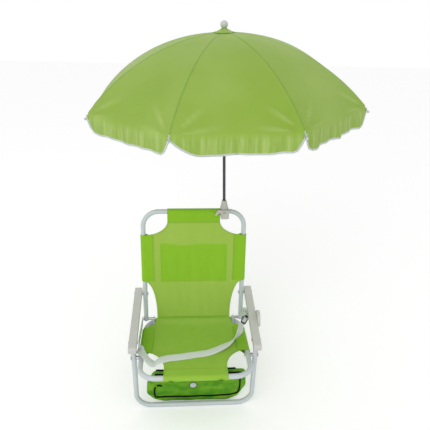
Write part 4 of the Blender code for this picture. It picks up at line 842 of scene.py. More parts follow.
def end_cells(place, sides, along, outward, lap, shares):
    """Rows that carry a sling's end round its cross bar and back under itself to its lap."""
    rows = []
    for step in range(1, 15):
        turn = pi * step / 14
        reach = along + outward * SLEEVE_RADIUS * sin(turn)
        flat = along + outward * SLEEVE_RADIUS * turn
        rows.append([(place(x, reach, SLEEVE_RADIUS * cos(turn)), x, flat, shares) for x in sides])
    for step in range(1, 7):
        share = step / 6
        reach = along - outward * lap * share
        drop = -SLEEVE_RADIUS + (2.0 * SLEEVE_RADIUS - FABRIC * 1.8) * ease(share * 1.08)
        flat = along + outward * (SLEEVE_RADIUS * pi + lap * share)
        rows.append([(place(x, reach, drop), x, flat, shares) for x in sides])
    return rows


def back_half(up):
    """The back sling's half width at a height, with its two pairs of cut-outs."""
    if up <= BACK_WAIST_UP:
        return BACK_WAIST_HALF
    if up < SIDE_SLEEVE_BOTTOM:
        share = (up - BACK_WAIST_UP) / (SIDE_SLEEVE_BOTTOM - BACK_WAIST_UP)
        return RAIL_HALF - (RAIL_HALF - BACK_WAIST_HALF) * sqrt(1.0 - share * share)
    if up <= SIDE_SLEEVE_TOP:
        return RAIL_HALF
    share = min((TOP_CUT_START - up) / (TOP_CUT_START - SIDE_SLEEVE_TOP), 1.0)
    if up >= TOP_CUT_START:
        return TOP_SLEEVE_HALF
    return RAIL_HALF - (RAIL_HALF - TOP_SLEEVE_HALF) * sqrt(1.0 - share * share)


def steps_between(marks, cell):
    """Even steps between marks, with every mark among them."""
    places = [marks[0]]
    for start, stop in zip(marks, marks[1:]):
        count = max(round(abs(stop - start) / cell), 1)
        places += [start + (stop - start) * i / count for i in range(1, count + 1)]
    return places


def pocket_edge(side):
    """The pocket's open top edge dips a little in the middle."""
    return POCKET_TOP - 0.004 * (1.0 - (side / POCKET_HALF) ** 2) + 0.0025 * sin(side * 55.0)


def back_layers(side, up, half):
    lap = RAIL_HALF - TUBE_RADIUS - LAP_WIDTH
    soft = 0.002
    pocket = min(
        ease((POCKET_HALF - abs(side)) / soft),
        ease((up - POCKET_BOTTOM) / soft),
        ease((pocket_edge(side) - up) / soft),
    )
    sleeve = min(
        ease((abs(side) - lap) / soft),
        ease((up - SIDE_SLEEVE_BOTTOM) / soft + 1.0),
        ease((SIDE_SLEEVE_TOP - up) / soft + 1.0),
    )
    top = ease((up - (BACK_LENGTH - 0.030)) / soft)
    return max(pocket * 0.92, sleeve, top)


def back_surface(side, up, half):
    """How far in front of the tubes' plane the back sling lies."""
    share = min(abs(side) / half, 1.0)
    sag = BACK_SAG * sin(pi * up / BACK_LENGTH) * (1.0 - share * share)
    fold = BACK_FOLD_HEIGHT * sin(side * 210.0 + 3.0 * noise.noise(Vector((side * 20.0, up * 9.0, 1.0))))
    fold *= ease((POCKET_TOP - up) / 0.05) * (1.0 - share) * ease(up / 0.03)
    cockle = BACK_COCKLE_HEIGHT * noise.noise(Vector((side * 34.0, up * 26.0, 4.0))) * (1.0 - share**4)
    pull = BACK_PULL_HEIGHT * near(up, SIDE_SLEEVE_TOP, 0.03) * sin(share * 9.0) * (1.0 - share)
    return SLEEVE_RADIUS - sag + fold + cockle + pull


def back_sling_cloth():
    marks = (
        BACK_SLING_FOOT,
        BACK_SLING_FOOT + HEM_WIDTH,
        BACK_WAIST_UP,
        0.095,
        0.115,
        SIDE_SLEEVE_BOTTOM - 0.0012,
        SIDE_SLEEVE_BOTTOM,
        SIDE_SLEEVE_TOP,
        SIDE_SLEEVE_TOP + 0.0010,
        0.266,
        0.276,
        TOP_CUT_START,
        BACK_LENGTH,
    )
    rows = []
    lap = RAIL_HALF - TUBE_RADIUS - LAP_WIDTH
    for up in steps_between(marks, CELL):
        half = back_half(up)
        wraps = SIDE_SLEEVE_BOTTOM <= up <= SIDE_SLEEVE_TOP
        row = []
        for side in columns(half):
            front = back_surface(side, up, half)
            edge = half - abs(side)
            hem = 0.0 if wraps else ease((HEM_WIDTH - edge) / 0.0012)
            hem = max(hem, ease((BACK_SLING_FOOT + HEM_WIDTH - up) / 0.0012))
            seam = 0.0 if wraps else 0.55 * ease((0.0012 - edge) / 0.001)
            seam = max(seam, 0.5 * near(up, BACK_LENGTH - 0.030, 0.002))
            if wraps:
                seam = max(seam, 0.45 * near(abs(side), lap, 0.002))
            shares = {"layers_and_highlight": back_layers(side, up, half), "hem": hem, "seam": seam}
            row.append((back_point(side, up, front), side, up, shares))
        left, right = [None] * 22, [None] * 22
        if wraps:
            shares = {"layers_and_highlight": 1.0, "hem": 0.0, "seam": 0.0}
            left = list(reversed(sleeve_cells(back_point, up, -1, shares)))
            right = sleeve_cells(back_point, up, 1, shares)
        rows.append(left + row + right)
    shares = {"layers_and_highlight": 1.0, "hem": 0.0, "seam": 0.0}
    pad = [None] * 22
    for row in end_cells(back_point, columns(TOP_SLEEVE_HALF), BACK_LENGTH, 1, 0.030, shares):
        rows.append(pad + row + pad)
    piece = cloth_piece("back_sling_cloth", rows, "sling", FABRIC, 1.7)
    area = cloth_area(rows)
    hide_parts("back_sling")
    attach(piece, "back")
    return area


def back_pocket_cloth():
    rows = []
    marks = (POCKET_BOTTOM, POCKET_BOTTOM + HEM_WIDTH, POCKET_TOP - 0.012, POCKET_TOP)
    for up in steps_between(marks, CELL):
        row = []
        for side in columns(POCKET_HALF):
            share = side / POCKET_HALF
            tall = (up - POCKET_BOTTOM) / (POCKET_TOP - POCKET_BOTTOM)
            lift = (pocket_edge(side) - POCKET_TOP) * ease(tall)
            bulge = POCKET_BULGE * (1.0 - share**4) * sin(pi * (0.12 + 0.75 * tall))
            bulge += 0.0010 * noise.noise(Vector((side * 30.0, up * 22.0, 9.0))) * (1.0 - share**4)
            behind = back_surface(side, up, RAIL_HALF) - FABRIC * 2.4 - SLEEVE_GAP - max(bulge, 0.0)
            hem = ease((HEM_WIDTH - (POCKET_HALF - abs(side))) / 0.0012)
            hem = max(hem, ease((POCKET_BOTTOM + HEM_WIDTH - up) / 0.0012))
            hem = max(hem, ease((up - POCKET_TOP + 0.012) / 0.0012))
            shares = {"layers_and_highlight": 0.6, "hem": hem, "seam": 0.0}
            row.append((back_point(side, up + lift, behind), side, up, shares))
        rows.append(row)
    piece = cloth_piece("back_pocket_cloth", rows, "sling", FABRIC, 1.5)
    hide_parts("back_pocket")
    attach(piece, "back")


def seat_half(forward):
    """The seat sling's half width at a place along it."""
    bend = RAIL_HALF - SEAT_REAR_RADIUS
    waist = BRACKET_INNER - SEAT_WAIST_INSET
    notch = BRACKET_NECK + SEAT_NOTCH_CLEAR
    reach = forward + SEAT_REAR
    round_half = RAIL_HALF
    if reach < SEAT_REAR_RADIUS:
        round_half = bend + sqrt(max(SEAT_REAR_RADIUS**2 - (SEAT_REAR_RADIUS - reach) ** 2, 0.0))
    if forward <= notch:
        return min(round_half, waist)
    if forward < SEAT_SLEEVE_REAR:
        return waist + (RAIL_HALF - waist) * ease((forward - notch) / (SEAT_SLEEVE_REAR - notch))
    if forward <= SEAT_SLEEVE_FRONT:
        return RAIL_HALF
    if forward >= FRONT_CUT_END:
        return FRONT_SLEEVE_HALF
    share = (FRONT_CUT_END - forward) / (FRONT_CUT_END - SEAT_SLEEVE_FRONT)
    return RAIL_HALF - (RAIL_HALF - FRONT_SLEEVE_HALF) * sqrt(1.0 - share * share)


def seat_surface(side, forward, half):
    share = min(abs(side) / half, 1.0)
    along = ease((forward + SEAT_REAR) / (SEAT_FRONT + SEAT_REAR))
    sag = SEAT_SAG * sin(pi * along) * (1.0 - share * share)
    cockle = SEAT_COCKLE_HEIGHT * noise.noise(Vector((side * 28.0, forward * 20.0, 7.0))) * (1.0 - share**4)
    cockle *= ease((forward + SEAT_REAR) / 0.03) * ease((SEAT_FRONT - forward) / 0.03)
    pull = SEAT_PULL_HEIGHT * near(forward, SEAT_SLEEVE_REAR, 0.035) * sin(share * 11.0) * (1.0 - share)
    return SLEEVE_RADIUS - sag + cockle + pull


def seat_sling_cloth():
    marks = (
        -SEAT_REAR,
        -SEAT_REAR + 0.012,
        BRACKET_NECK + SEAT_NOTCH_CLEAR,
        SEAT_SLEEVE_REAR - 0.0012,
        SEAT_SLEEVE_REAR,
        SEAT_SLEEVE_FRONT,
        SEAT_SLEEVE_FRONT + 0.0012,
        0.160,
        0.175,
        FRONT_CUT_END,
        SEAT_FRONT,
    )
    lap = RAIL_HALF - TUBE_RADIUS - LAP_WIDTH
    rows = []
    whole = {"layers_and_highlight": 1.0, "hem": 0.0, "seam": 0.0}
    pad = [None] * 22
    rear = end_cells(sling_point, columns(RAIL_HALF - SEAT_REAR_RADIUS), -SEAT_REAR, -1, 0.024, whole)
    rows += [pad + row + pad for row in reversed(rear)]
    for forward in steps_between(marks, CELL):
        half = seat_half(forward)
        wraps = SEAT_SLEEVE_REAR <= forward <= SEAT_SLEEVE_FRONT
        row = []
        for side in columns(half):
            edge = half - abs(side)
            hem = 0.0 if wraps else ease((HEM_WIDTH - edge) / 0.0012)
            seam = 0.0 if wraps else 0.55 * ease((0.0012 - edge) / 0.001)
            soft = 0.002
            # The 0.58 share near the front bar, where the cloth is double, is held under 1 so that it comes
            # out paler: a painted highlight of the sleeve over its bar.
            layers_and_highlight = max(0.48, ease((forward - SEAT_FRONT + 0.024) / soft) * 0.58)
            layers_and_highlight = max(layers_and_highlight, ease((0.024 - SEAT_REAR - forward) / soft))
            if SEAT_SLEEVE_REAR - 0.01 <= forward <= SEAT_SLEEVE_FRONT + 0.01:
                layers_and_highlight = max(layers_and_highlight, ease((abs(side) - lap) / soft))
            seam = max(seam, 0.4 * near(forward, SEAT_FRONT - 0.024, 0.002))
            if wraps:
                seam = max(seam, 0.35 * near(abs(side), lap, 0.002))
            shares = {"layers_and_highlight": layers_and_highlight, "hem": hem, "seam": seam}
            row.append((sling_point(side, forward, seat_surface(side, forward, half)), side, forward, shares))
        left, right = pad, pad
        if wraps:
            left = list(reversed(sleeve_cells(sling_point, forward, -1, whole)))
            right = sleeve_cells(sling_point, forward, 1, whole)
        rows.append(left + row + right)
    # The cloth round the front bar is double, but gets a share of 0.52 so that it comes out paler: a painted
    # highlight on the sleeve over the bar.
    front = {"layers_and_highlight": 0.52, "hem": 0.0, "seam": 0.0}
    for row in end_cells(sling_point, columns(FRONT_SLEEVE_HALF), SEAT_FRONT, 1, 0.024, front):
        rows.append(pad + row + pad)
    piece = cloth_piece("seat_sling_cloth", rows, "sling", FABRIC, 1.7)
    area = cloth_area(rows)
    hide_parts("seat_sling")
    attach(piece, "seat")
    return area


def sling_stitches():
    """Rows of thread beside every hem, sleeve lap and pocket edge."""
    proud = FABRIC * 0.75
    def back_stitch(side, x, up, half):
        """A stitch on one side of the back sling. The surface is taken at the positive side for both."""
        return back_point(side * x, up, back_surface(x, up, half) + proud), BACK_FORWARD

    def seat_stitch(side, x, forward, half):
        """The same on the seat sling."""
        return sling_point(side * x, forward, seat_surface(x, forward, half) + proud), SEAT_UP

    lap = RAIL_HALF - TUBE_RADIUS - LAP_WIDTH + STITCH_INSET
    back = []
    below_sleeve = (BACK_SLING_FOOT + STITCH_INSET, SIDE_SLEEVE_BOTTOM - 2 * STITCH_INSET)
    above_sleeve = (0.2660, BACK_LENGTH - 0.032)
    for side in (-1, 1):
        ups = steps_between((SIDE_SLEEVE_BOTTOM + STITCH_INSET, SIDE_SLEEVE_TOP - STITCH_INSET), CELL)
        back.append([back_stitch(side, lap, up, RAIL_HALF) for up in ups])
        for low, high in (below_sleeve, above_sleeve):
            run = []
            for up in steps_between((low, high), CELL / 2):
                x = back_half(up) - HEM_WIDTH + HEM_STITCH_INSET
                run.append(back_stitch(side, x, up, back_half(up)))
            back.append(run)
        ups = steps_between((POCKET_BOTTOM, POCKET_TOP - SLEEVE_STITCH_INSET), CELL)
        x = POCKET_HALF - STITCH_INSET
        back.append([back_stitch(side, x, up, RAIL_HALF) for up in ups])
    wide = steps_between((-POCKET_HALF, POCKET_HALF), CELL)
    up = POCKET_BOTTOM + STITCH_INSET
    back.append([back_stitch(1, x, up, RAIL_HALF) for x in wide])
    reach = TOP_SLEEVE_HALF - SLEEVE_STITCH_INSET
    wide = steps_between((-reach, reach), CELL)
    up = BACK_LENGTH - 0.029
    back.append([back_stitch(1, x, up, TOP_SLEEVE_HALF) for x in wide])
    piece = stitch_piece("back_sling_stitches", back, "thread")
    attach(piece, "back")
    seat = []
    for side in (-1, 1):
        places = steps_between((SEAT_SLEEVE_REAR + STITCH_INSET, SEAT_SLEEVE_FRONT - STITCH_INSET), CELL)
        seat.append([seat_stitch(side, lap, y, RAIL_HALF) for y in places])
        run = []
        hem = (SEAT_SLEEVE_FRONT + 2 * STITCH_INSET, SEAT_FRONT - STITCH_INSET)
        for forward in steps_between(hem, CELL / 2):
            x = seat_half(forward) - HEM_WIDTH + HEM_STITCH_INSET
            run.append(seat_stitch(side, x, forward, seat_half(forward)))
        seat.append(run)
    reach = FRONT_SLEEVE_HALF - SLEEVE_STITCH_INSET
    wide = steps_between((-reach, reach), CELL)
    forward = SEAT_FRONT - 0.023
    seat.append([seat_stitch(1, x, forward, FRONT_SLEEVE_HALF) for x in wide])
    piece = stitch_piece("seat_sling_stitches", seat, "thread")
    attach(piece, "seat")


# Belt


def seat_lay(side, forward):
    """How high webbing lies on the seat sling at a place on it."""
    half = seat_half(forward + WEBBING_WIDTH / 2)
    share = min(abs(side) / half, 1.0)
    sag = SEAT_SAG * sin(pi * ease((forward + SEAT_REAR) / (SEAT_FRONT + SEAT_REAR)))
    top = SLEEVE_RADIUS + FABRIC / 2 + WEBBING_CLEAR + WEBBING / 2
    return top - PIVOT_RISE - sag * (1.0 - share * share)


def buckle_matrix():
    """The buckle's frame: X across the webbing, Y along it, Z out of its face."""
    out = Vector((cos(BUCKLE_TURN), -sin(BUCKLE_TURN), 0.0))
    level = Z_AXIS.cross(out)
    travel = (level + Z_AXIS).normalized()
    place = seat_point(RAIL_HALF + BUCKLE_SIDE, BUCKLE_FORWARD, BUCKLE_RISE)
    turn = Matrix((travel.cross(out), travel, out)).transposed().to_4x4()
    return Matrix.Translation(place) @ turn


def belt():
    """The lap belt: the long strap over the seat, the short one from the other side, and their loops."""
    outside = -(RAIL_HALF + TUBE_RADIUS + HEAD_HEIGHT + WEBBING_OUT)
    ahead = -SEAT_FORWARD
    spine = []
    for forward, rise, slant in BELT_SIDE_SHARES:
        spine.append((seat_point(outside, forward * LEG_REACH, rise * PIVOT_RISE), SEAT_UP + ahead * slant))
    for side, forward, rise, slant in BELT_OVER_SHARES:
        place = seat_point(side * WEBBING_WIDTH - RAIL_HALF, forward * LEG_REACH, rise * PIVOT_RISE)
        spine.append((place, SEAT_UP * slant + ahead))
    for side, forward, sink in BELT_DROOP_SHARES:
        spine.append((seat_point(side * RAIL_HALF, forward * LEG_REACH, -sink * PIVOT_RISE), ahead))
    for side, forward, slant in BELT_LAY_SHARES:
        place = (side * RAIL_HALF, forward * LEG_REACH)
        spine.append((seat_point(*place, seat_lay(*place)), ahead + X_AXIS * slant))
    buckle = buckle_matrix()
    across = buckle.to_3x3() @ X_AXIS
    travel = buckle.to_3x3() @ Y_AXIS
    out = buckle.to_3x3() @ Z_AXIS
    middle = buckle.translation
    for side, forward, lift, turned in BELT_RISE_SHARES:
        place = (side * RAIL_HALF, forward * LEG_REACH)
        facing = ahead.lerp(across + X_AXIS * 0.2, turned)
        spine.append((seat_point(*place, seat_lay(*place) + lift), facing))
    spine.append((middle - travel * BUCKLE_LENGTH * BUCKLE_ENTRY_SHARE, across))
    spine.append((middle - travel * GAP, across))
    long_strap, points = strap_piece("belt_webbing_long", spine, 8, "webbing")
    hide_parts("belt_strap_long")
    outside = -outside
    spine = []
    for forward, rise in BELT_END_SHARES:
        spine.append((seat_point(outside, forward * LEG_REACH, rise * PIVOT_RISE), SEAT_FORWARD))
    first, last = (BUCKLE_LENGTH * share for share in BUCKLE_FOLD_SHARES)
    spine += [
        (middle + travel * first - out * BUCKLE_HEIGHT, -across),
        (middle + travel * last, -across),
        (middle + travel * BUCKLE_LENGTH * BUCKLE_ENTRY_SHARE * 0.85, -across),
        (middle + travel * GAP, -across),
    ]
    short_strap, points = strap_piece("belt_webbing_short", spine, 8, "webbing")
    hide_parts("belt_strap_short")
    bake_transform(long_strap)
    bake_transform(short_strap)
    belt_slide(buckle)


def belt_slide(world):
    """The moulded slide: a rounded frame with two bars that the webbing is threaded through."""
    half_width = (BUCKLE_WIDTH - BUCKLE_RIM) / 2
    half_length = (BUCKLE_LENGTH - BUCKLE_RIM) / 2
    corners = [
        Vector((half_width, half_length, 0.0)),
        Vector((-half_width, half_length, 0.0)),
        Vector((-half_width, -half_length, 0.0)),
        Vector((half_width, -half_length, 0.0)),
    ]
    path = [world @ point for point in fillet(corners, [0.0032] * 4, closed=True)]
    out = world.to_3x3() @ Z_AXIS
    inner = world.inverted()
    broad, slim = flat_oval(BUCKLE_HEIGHT, BUCKLE_RIM), flat_oval(BUCKLE_HEIGHT * 0.7, BUCKLE_RIM * 0.5)

    def section(i):
        """Slimmer along the side that the webbing lies over."""
        share = ease(((inner @ path[i]).x / half_width + 1.0) / 0.4)
        return [(a[0] + (b[0] - a[0]) * share, a[1] + (b[1] - a[1]) * share) for a, b in zip(slim, broad)]

    rings, faces, uv = sweep(path, section, True, [out] * len(path))
    parts = [new_piece("belt_slide_frame", rings, faces, "black", uv)]
    for word, up, radius in (("low", -0.0022, BUCKLE_BAR_RADIUS), ("high", 0.0040, BUCKLE_BAR_RADIUS)):
        ends = [world @ Vector((x * half_width, up, -0.0022)) for x in (-1.0, -0.9, -0.3, 0.3, 0.9, 1.0)]
        parts.append(tube_piece("belt_slide_bar_" + word, ends, radius, "black", 14))
    shares = (-0.55, -0.30, 0.15, 0.60, 0.85)
    tab = [world @ Vector((x * half_width, half_length - 0.0004, 0.0030)) for x in shares]
    radii = [0.0016, 0.0034, 0.0038, 0.0034, 0.0016]
    parts.append(tube_piece("belt_slide_tab", tab, 0.0, "black", 14, radii=radii))
    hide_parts("belt_buckle")
    for part in parts:
        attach(part, "buckle")


# Pouch


def even_loop(path, count):
    """A closed path as evenly spaced points."""
    closed = path + [path[0]]
    lengths = [0.0]
    for a, b in zip(closed, closed[1:]):
        lengths.append(lengths[-1] + (b - a).length)
    made, i = [], 0
    for step in range(count):
        want = lengths[-1] * step / count
        while lengths[i + 1] < want:
            i += 1
        share = (want - lengths[i]) / max(lengths[i + 1] - lengths[i], 1e-9)
        made.append(closed[i].lerp(closed[i + 1], share))
    return made


def pouch_rings():
    """Rings from the middle of the front panel out to the pouch's edge and in again behind."""
    rings = []
    for share in (0.985, 0.93, 0.86, 0.78, 0.70, 0.62, 0.54, 0.48, 0.43):
        rings.append((share, 0.0004 + 0.0020 * ((1.0 - share) / 0.57) ** 2.4))
    for share in (0.39, 0.34, 0.29, 0.24, 0.19, 0.14, 0.09, 0.05):
        rings.append((share, 0.0025 + 0.0005 * (0.43 - share)))
    for step in range(1, 9):
        turn = pi / 2 * step / 8
        rings.append((0.032 * (1.0 - sin(turn)), 0.0028 + 0.0085 * (1.0 - cos(turn))))
    rings.append((0.0, 0.0215))
    for step in range(1, 9):
        turn = pi / 2 * step / 8
        rings.append((0.30 * (1.0 - cos(turn)), 0.0215 + 0.0135 * sin(turn)))
    rings += [(0.40, 0.0360), (0.52, 0.0366), (0.66, 0.0368), (0.80, 0.0369), (0.92, 0.0370), (0.985, 0.0370)]
    return rings


def pouch_body():
    """The bag, laid flat in front and behind, with soft dents, and the surface to lay its trim on."""
    corners = [Vector((x, 0.0, z)) for x, z, radius in POUCH_OUTLINE]
    path = fillet(corners, [radius * 0.62 for x, z, radius in POUCH_OUTLINE], closed=True)
    outline = even_loop(path, 220)
    count = len(outline)
    points, uv, faces = [], [], []
    rings = pouch_rings()
    for share, depth in rings:
        for edge in outline:
            middle = Vector((min(max(edge.x, POUCH_MIDDLE_ENDS[0]), POUCH_MIDDLE_ENDS[1]), 0.0, POUCH_MIDDLE))
            place = edge.lerp(middle, share)
            key = Vector((place.x * 17.0, depth * 26.0, place.z * 26.0))
            dent = noise.noise(key + Vector((3.1, 0.0, 0.0)))
            fine = noise.noise(key * 2.9)
            crease = abs(noise.noise(Vector((place.x * 34.0 + place.z * 60.0, depth * 30.0, 8.0))))
            inward = middle - place
            if inward.length > 1e-6:
                sink = max(0.0, POUCH_END_DENT * dent + POUCH_WRINKLE * fine)
                place = place + inward.normalized() * sink * (1.0 - share)
            bulk = sin(pi * min(depth / POUCH_DEPTH, 1.0) * 0.5)
            y = POUCH_FRONT + depth + POUCH_DENT * dent * (1.0 - bulk)
            y = y + POUCH_WRINKLE * fine - POUCH_CREASE * crease * (1.0 - bulk)
            y = min(max(y, POUCH_FRONT - 0.0012), POUCH_FRONT + POUCH_DEPTH)
            points.append(Vector((place.x, y, max(place.z, 0.0042))))
            uv.append((place.x, place.z + depth))
    for row in range(len(rings) - 1):
        for i in range(count):
            a, b = row * count, (row + 1) * count
            faces.append((a + i, b + i, b + (i + 1) % count, a + (i + 1) % count))
    last = (len(rings) - 1) * count
    faces.append(tuple(range(count)))
    faces.append(tuple(reversed(range(last, last + count))))
    piece = new_piece("pouch_bag", points, faces, "pouch", uv)
    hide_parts("storage_pouch")
    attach(piece, "seat")
    return BVHTree.FromPolygons(points, [face for face in faces if len(face) == 4])


def pouch_trim(surface):
    """Black piping on the front panel, two tapes along the top, the zip's slider and the snap, with a black
    ring set low under the snap that partly stands for its painted shadow.
    """
    piping = []
    for point in spline([Vector((x, 0.0, z)) for x, z in POUCH_PIPING], 6):
        hit = surface.ray_cast(Vector((point.x, -0.1, point.z)), Y_AXIS)[0]
        piping.append(Vector((point.x, hit.y - PIPING_RADIUS * 0.45, point.z)))
    pieces = [tube_piece("pouch_piping", piping, PIPING_RADIUS, "tape", sides=12)]
    for name, depth, low, high in (("front", 0.0110, -0.108, 0.128), ("rear", 0.0290, -0.106, 0.114)):
        run = []
        for x in steps_between((low, high), 0.006):
            wave = 0.0016 * noise.noise(Vector((x * 25.0, depth * 60.0, 2.0)))
            y = POUCH_FRONT + depth + wave
            hit = surface.ray_cast(Vector((x, y, 0.2)), -Z_AXIS)[0]
            run.append((Vector((x, y, hit.z + 0.0005)), Y_AXIS))
        pieces.append(strap_piece("pouch_tape_" + name, run, 2, "tape", 0.0080, 0.0018)[0])
    hit = surface.ray_cast(Vector((0.116, POUCH_FRONT + 0.010, 0.2)), -Z_AXIS)[0]
    slider = [
        (hit + Vector((-0.004, 0.0, 0.0016)), Y_AXIS),
        (hit + Vector((0.004, 0.0, 0.0026)), Y_AXIS),
        (hit + Vector((0.011, -0.001, 0.0018)), Y_AXIS),
        (hit + Vector((0.017, -0.003, -0.0024)), Y_AXIS),
        (hit + Vector((0.019, -0.005, -0.0100)), Y_AXIS),
    ]
    pieces.append(strap_piece("pouch_zip_slider", slider, 4, "black", 0.0086, 0.0044)[0])
    knot = []
    for x, z in ((-0.102, 0.0655), (-0.098, 0.0670), (-0.093, 0.0668), (-0.089, 0.0650)):
        hit = surface.ray_cast(Vector((x, -0.1, z)), Y_AXIS)[0]
        knot.append((hit - Y_AXIS * 0.0008, Z_AXIS))
    pieces.append(strap_piece("pouch_zip_stop", knot, 3, "tape", 0.0050, 0.0026)[0])
    hit = surface.ray_cast(Vector((SNAP_SIDE, -0.1, SNAP_UP)), Y_AXIS)[0]
    # A black ring under the snap's cap, set 1.8 mm low so that only a black crescent shows below the cap:
    # partly a washer, partly a painted shadow.
    rim = [(0.0010, 0.0012), (0.0098, 0.0012), (0.0106, 0.0007)]
    rim += [(0.0108, 0.0), (0.0106, -0.0008), (0.0010, -0.0010)]
    pieces.append(lathe_piece("pouch_snap_ring_and_shadow", rim, hit - Z_AXIS * 0.0018, -Y_AXIS, "black"))
    cap = [
        (0.0008, 0.0040),
        (0.0034, 0.0039),
        (0.0052, 0.0034),
        (0.0062, 0.0028),
        (0.0072, 0.0032),
        (0.0084, 0.0028),
        (0.0089, 0.0020),
        (0.0089, 0.0002),
        (0.0008, 0.0001),
    ]
    snap = lathe_piece("pouch_snap_cap", cap, hit, -Y_AXIS, "nylon")
    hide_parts("pouch_snap")
    pieces.append(snap)
    for piece in pieces:
        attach(piece, "seat")


def pouch_straps():
    """The straps that hang the pouch from under the seat's front sleeve."""
    radius = SLEEVE_RADIUS + FABRIC / 2 + GAP + WEBBING / 2
    for word, side in (("left", 1), ("right", -1)):
        bar = seat_point(side * LOOP_HALF, SEAT_FRONT, -PIVOT_RISE)
        hold = Vector((bar.x, POUCH_FRONT + LOOP_INSET, POUCH_BOTTOM + POUCH_HEIGHT + GAP + WEBBING / 2))
        reach = hold - bar
        leave = atan2(reach.z, reach.y) - acos(radius / reach.length)
        spine = [(hold + Y_AXIS * LOOP_HOLD, X_AXIS), (hold, X_AXIS)]
        for step in range(6):
            turn = leave - LOOP_TURN * step / 5
            spine.append((bar + Vector((0.0, radius * cos(turn), radius * sin(turn))), X_AXIS))
        piece = strap_piece("pouch_strap_" + word, spine, 6, "pouch", LOOP_WIDTH)[0]
        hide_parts("pouch_loop_" + word)
        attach(piece, "seat")


# Umbrella


class Rib:
    """The bent rib as an arc in the plane of its radius and the pole, from its crown hinge."""

    def __init__(self):
        across = RIM_RADIUS - HINGE_RADIUS
        drop = APEX_HEIGHT - CROWN_DROP - RIM_HEIGHT
        chord = hypot(across, drop)
        self.bend_radius = chord / 2 / sin(RIB_BEND / 2)
        self.length = self.bend_radius * RIB_BEND
        self.start = atan2(across, drop) + RIB_BEND / 2

    def point(self, along, outward=0.0):
        """Radius from the hinge and height above it, at a length along the rib."""
        facing = self.start - along / self.bend_radius
        radius = self.bend_radius * (cos(facing) - cos(self.start))
        height = -self.bend_radius * (sin(self.start) - sin(facing))
        return radius + outward * cos(facing), height + outward * sin(facing)


RIB = Rib()
CROWN_UP = APEX_HEIGHT - CROWN_DROP
GORE_SHARES = (0.0, 0.012, 0.028, 0.06, 0.11, 0.17, 0.24, 0.31, 0.38, 0.45, 0.52)
GORE_SHARES += (0.60, 0.68, 0.76, 0.84, 0.92, 1.0)

# How fast the valance deepens beside each rib, as shares of half a panel: clockwise, then anticlockwise
VALANCE_SHARES = {1: (0.16, 0.16), 2: (0.14, 0.22), 7: (0.20, 0.20), 8: (0.18, 0.42)}
# How far the panel after each rib billows out
BILLOW_SHARES = {1: 0.9, 2: 1.0, 3: 0.6, 8: 0.35}
GATHER_SHARES = {1: 1.7, 7: 0.9, 8: 0.8}
BILLOW = 0.0060
SEAM_RIDGE = 0.0007
SEAM_RIDGE_HALF = 0.0022
RIPPLE_HEIGHT = 0.0011
# The creases that fan out from each rib's tip: how high, how far, and where they begin
CREASE_HEIGHT = 0.0021
CREASE_REACH = 0.070
CREASE_START = 0.006
CREASE_RISE = 0.026
RIM_SOFT = 0.012


def rib_frame(index):
    """World matrix of a rib's crown hinge: X outward, Z along the pole. Ribs count from 1."""
    angle = (index - 0.5) * 2 * pi / RIB_COUNT - pi / 2
    up = Matrix.Translation((HINGE_RADIUS, 0.0, CROWN_UP))
    return UMBRELLA @ Matrix.Rotation(angle, 4, "Z") @ up


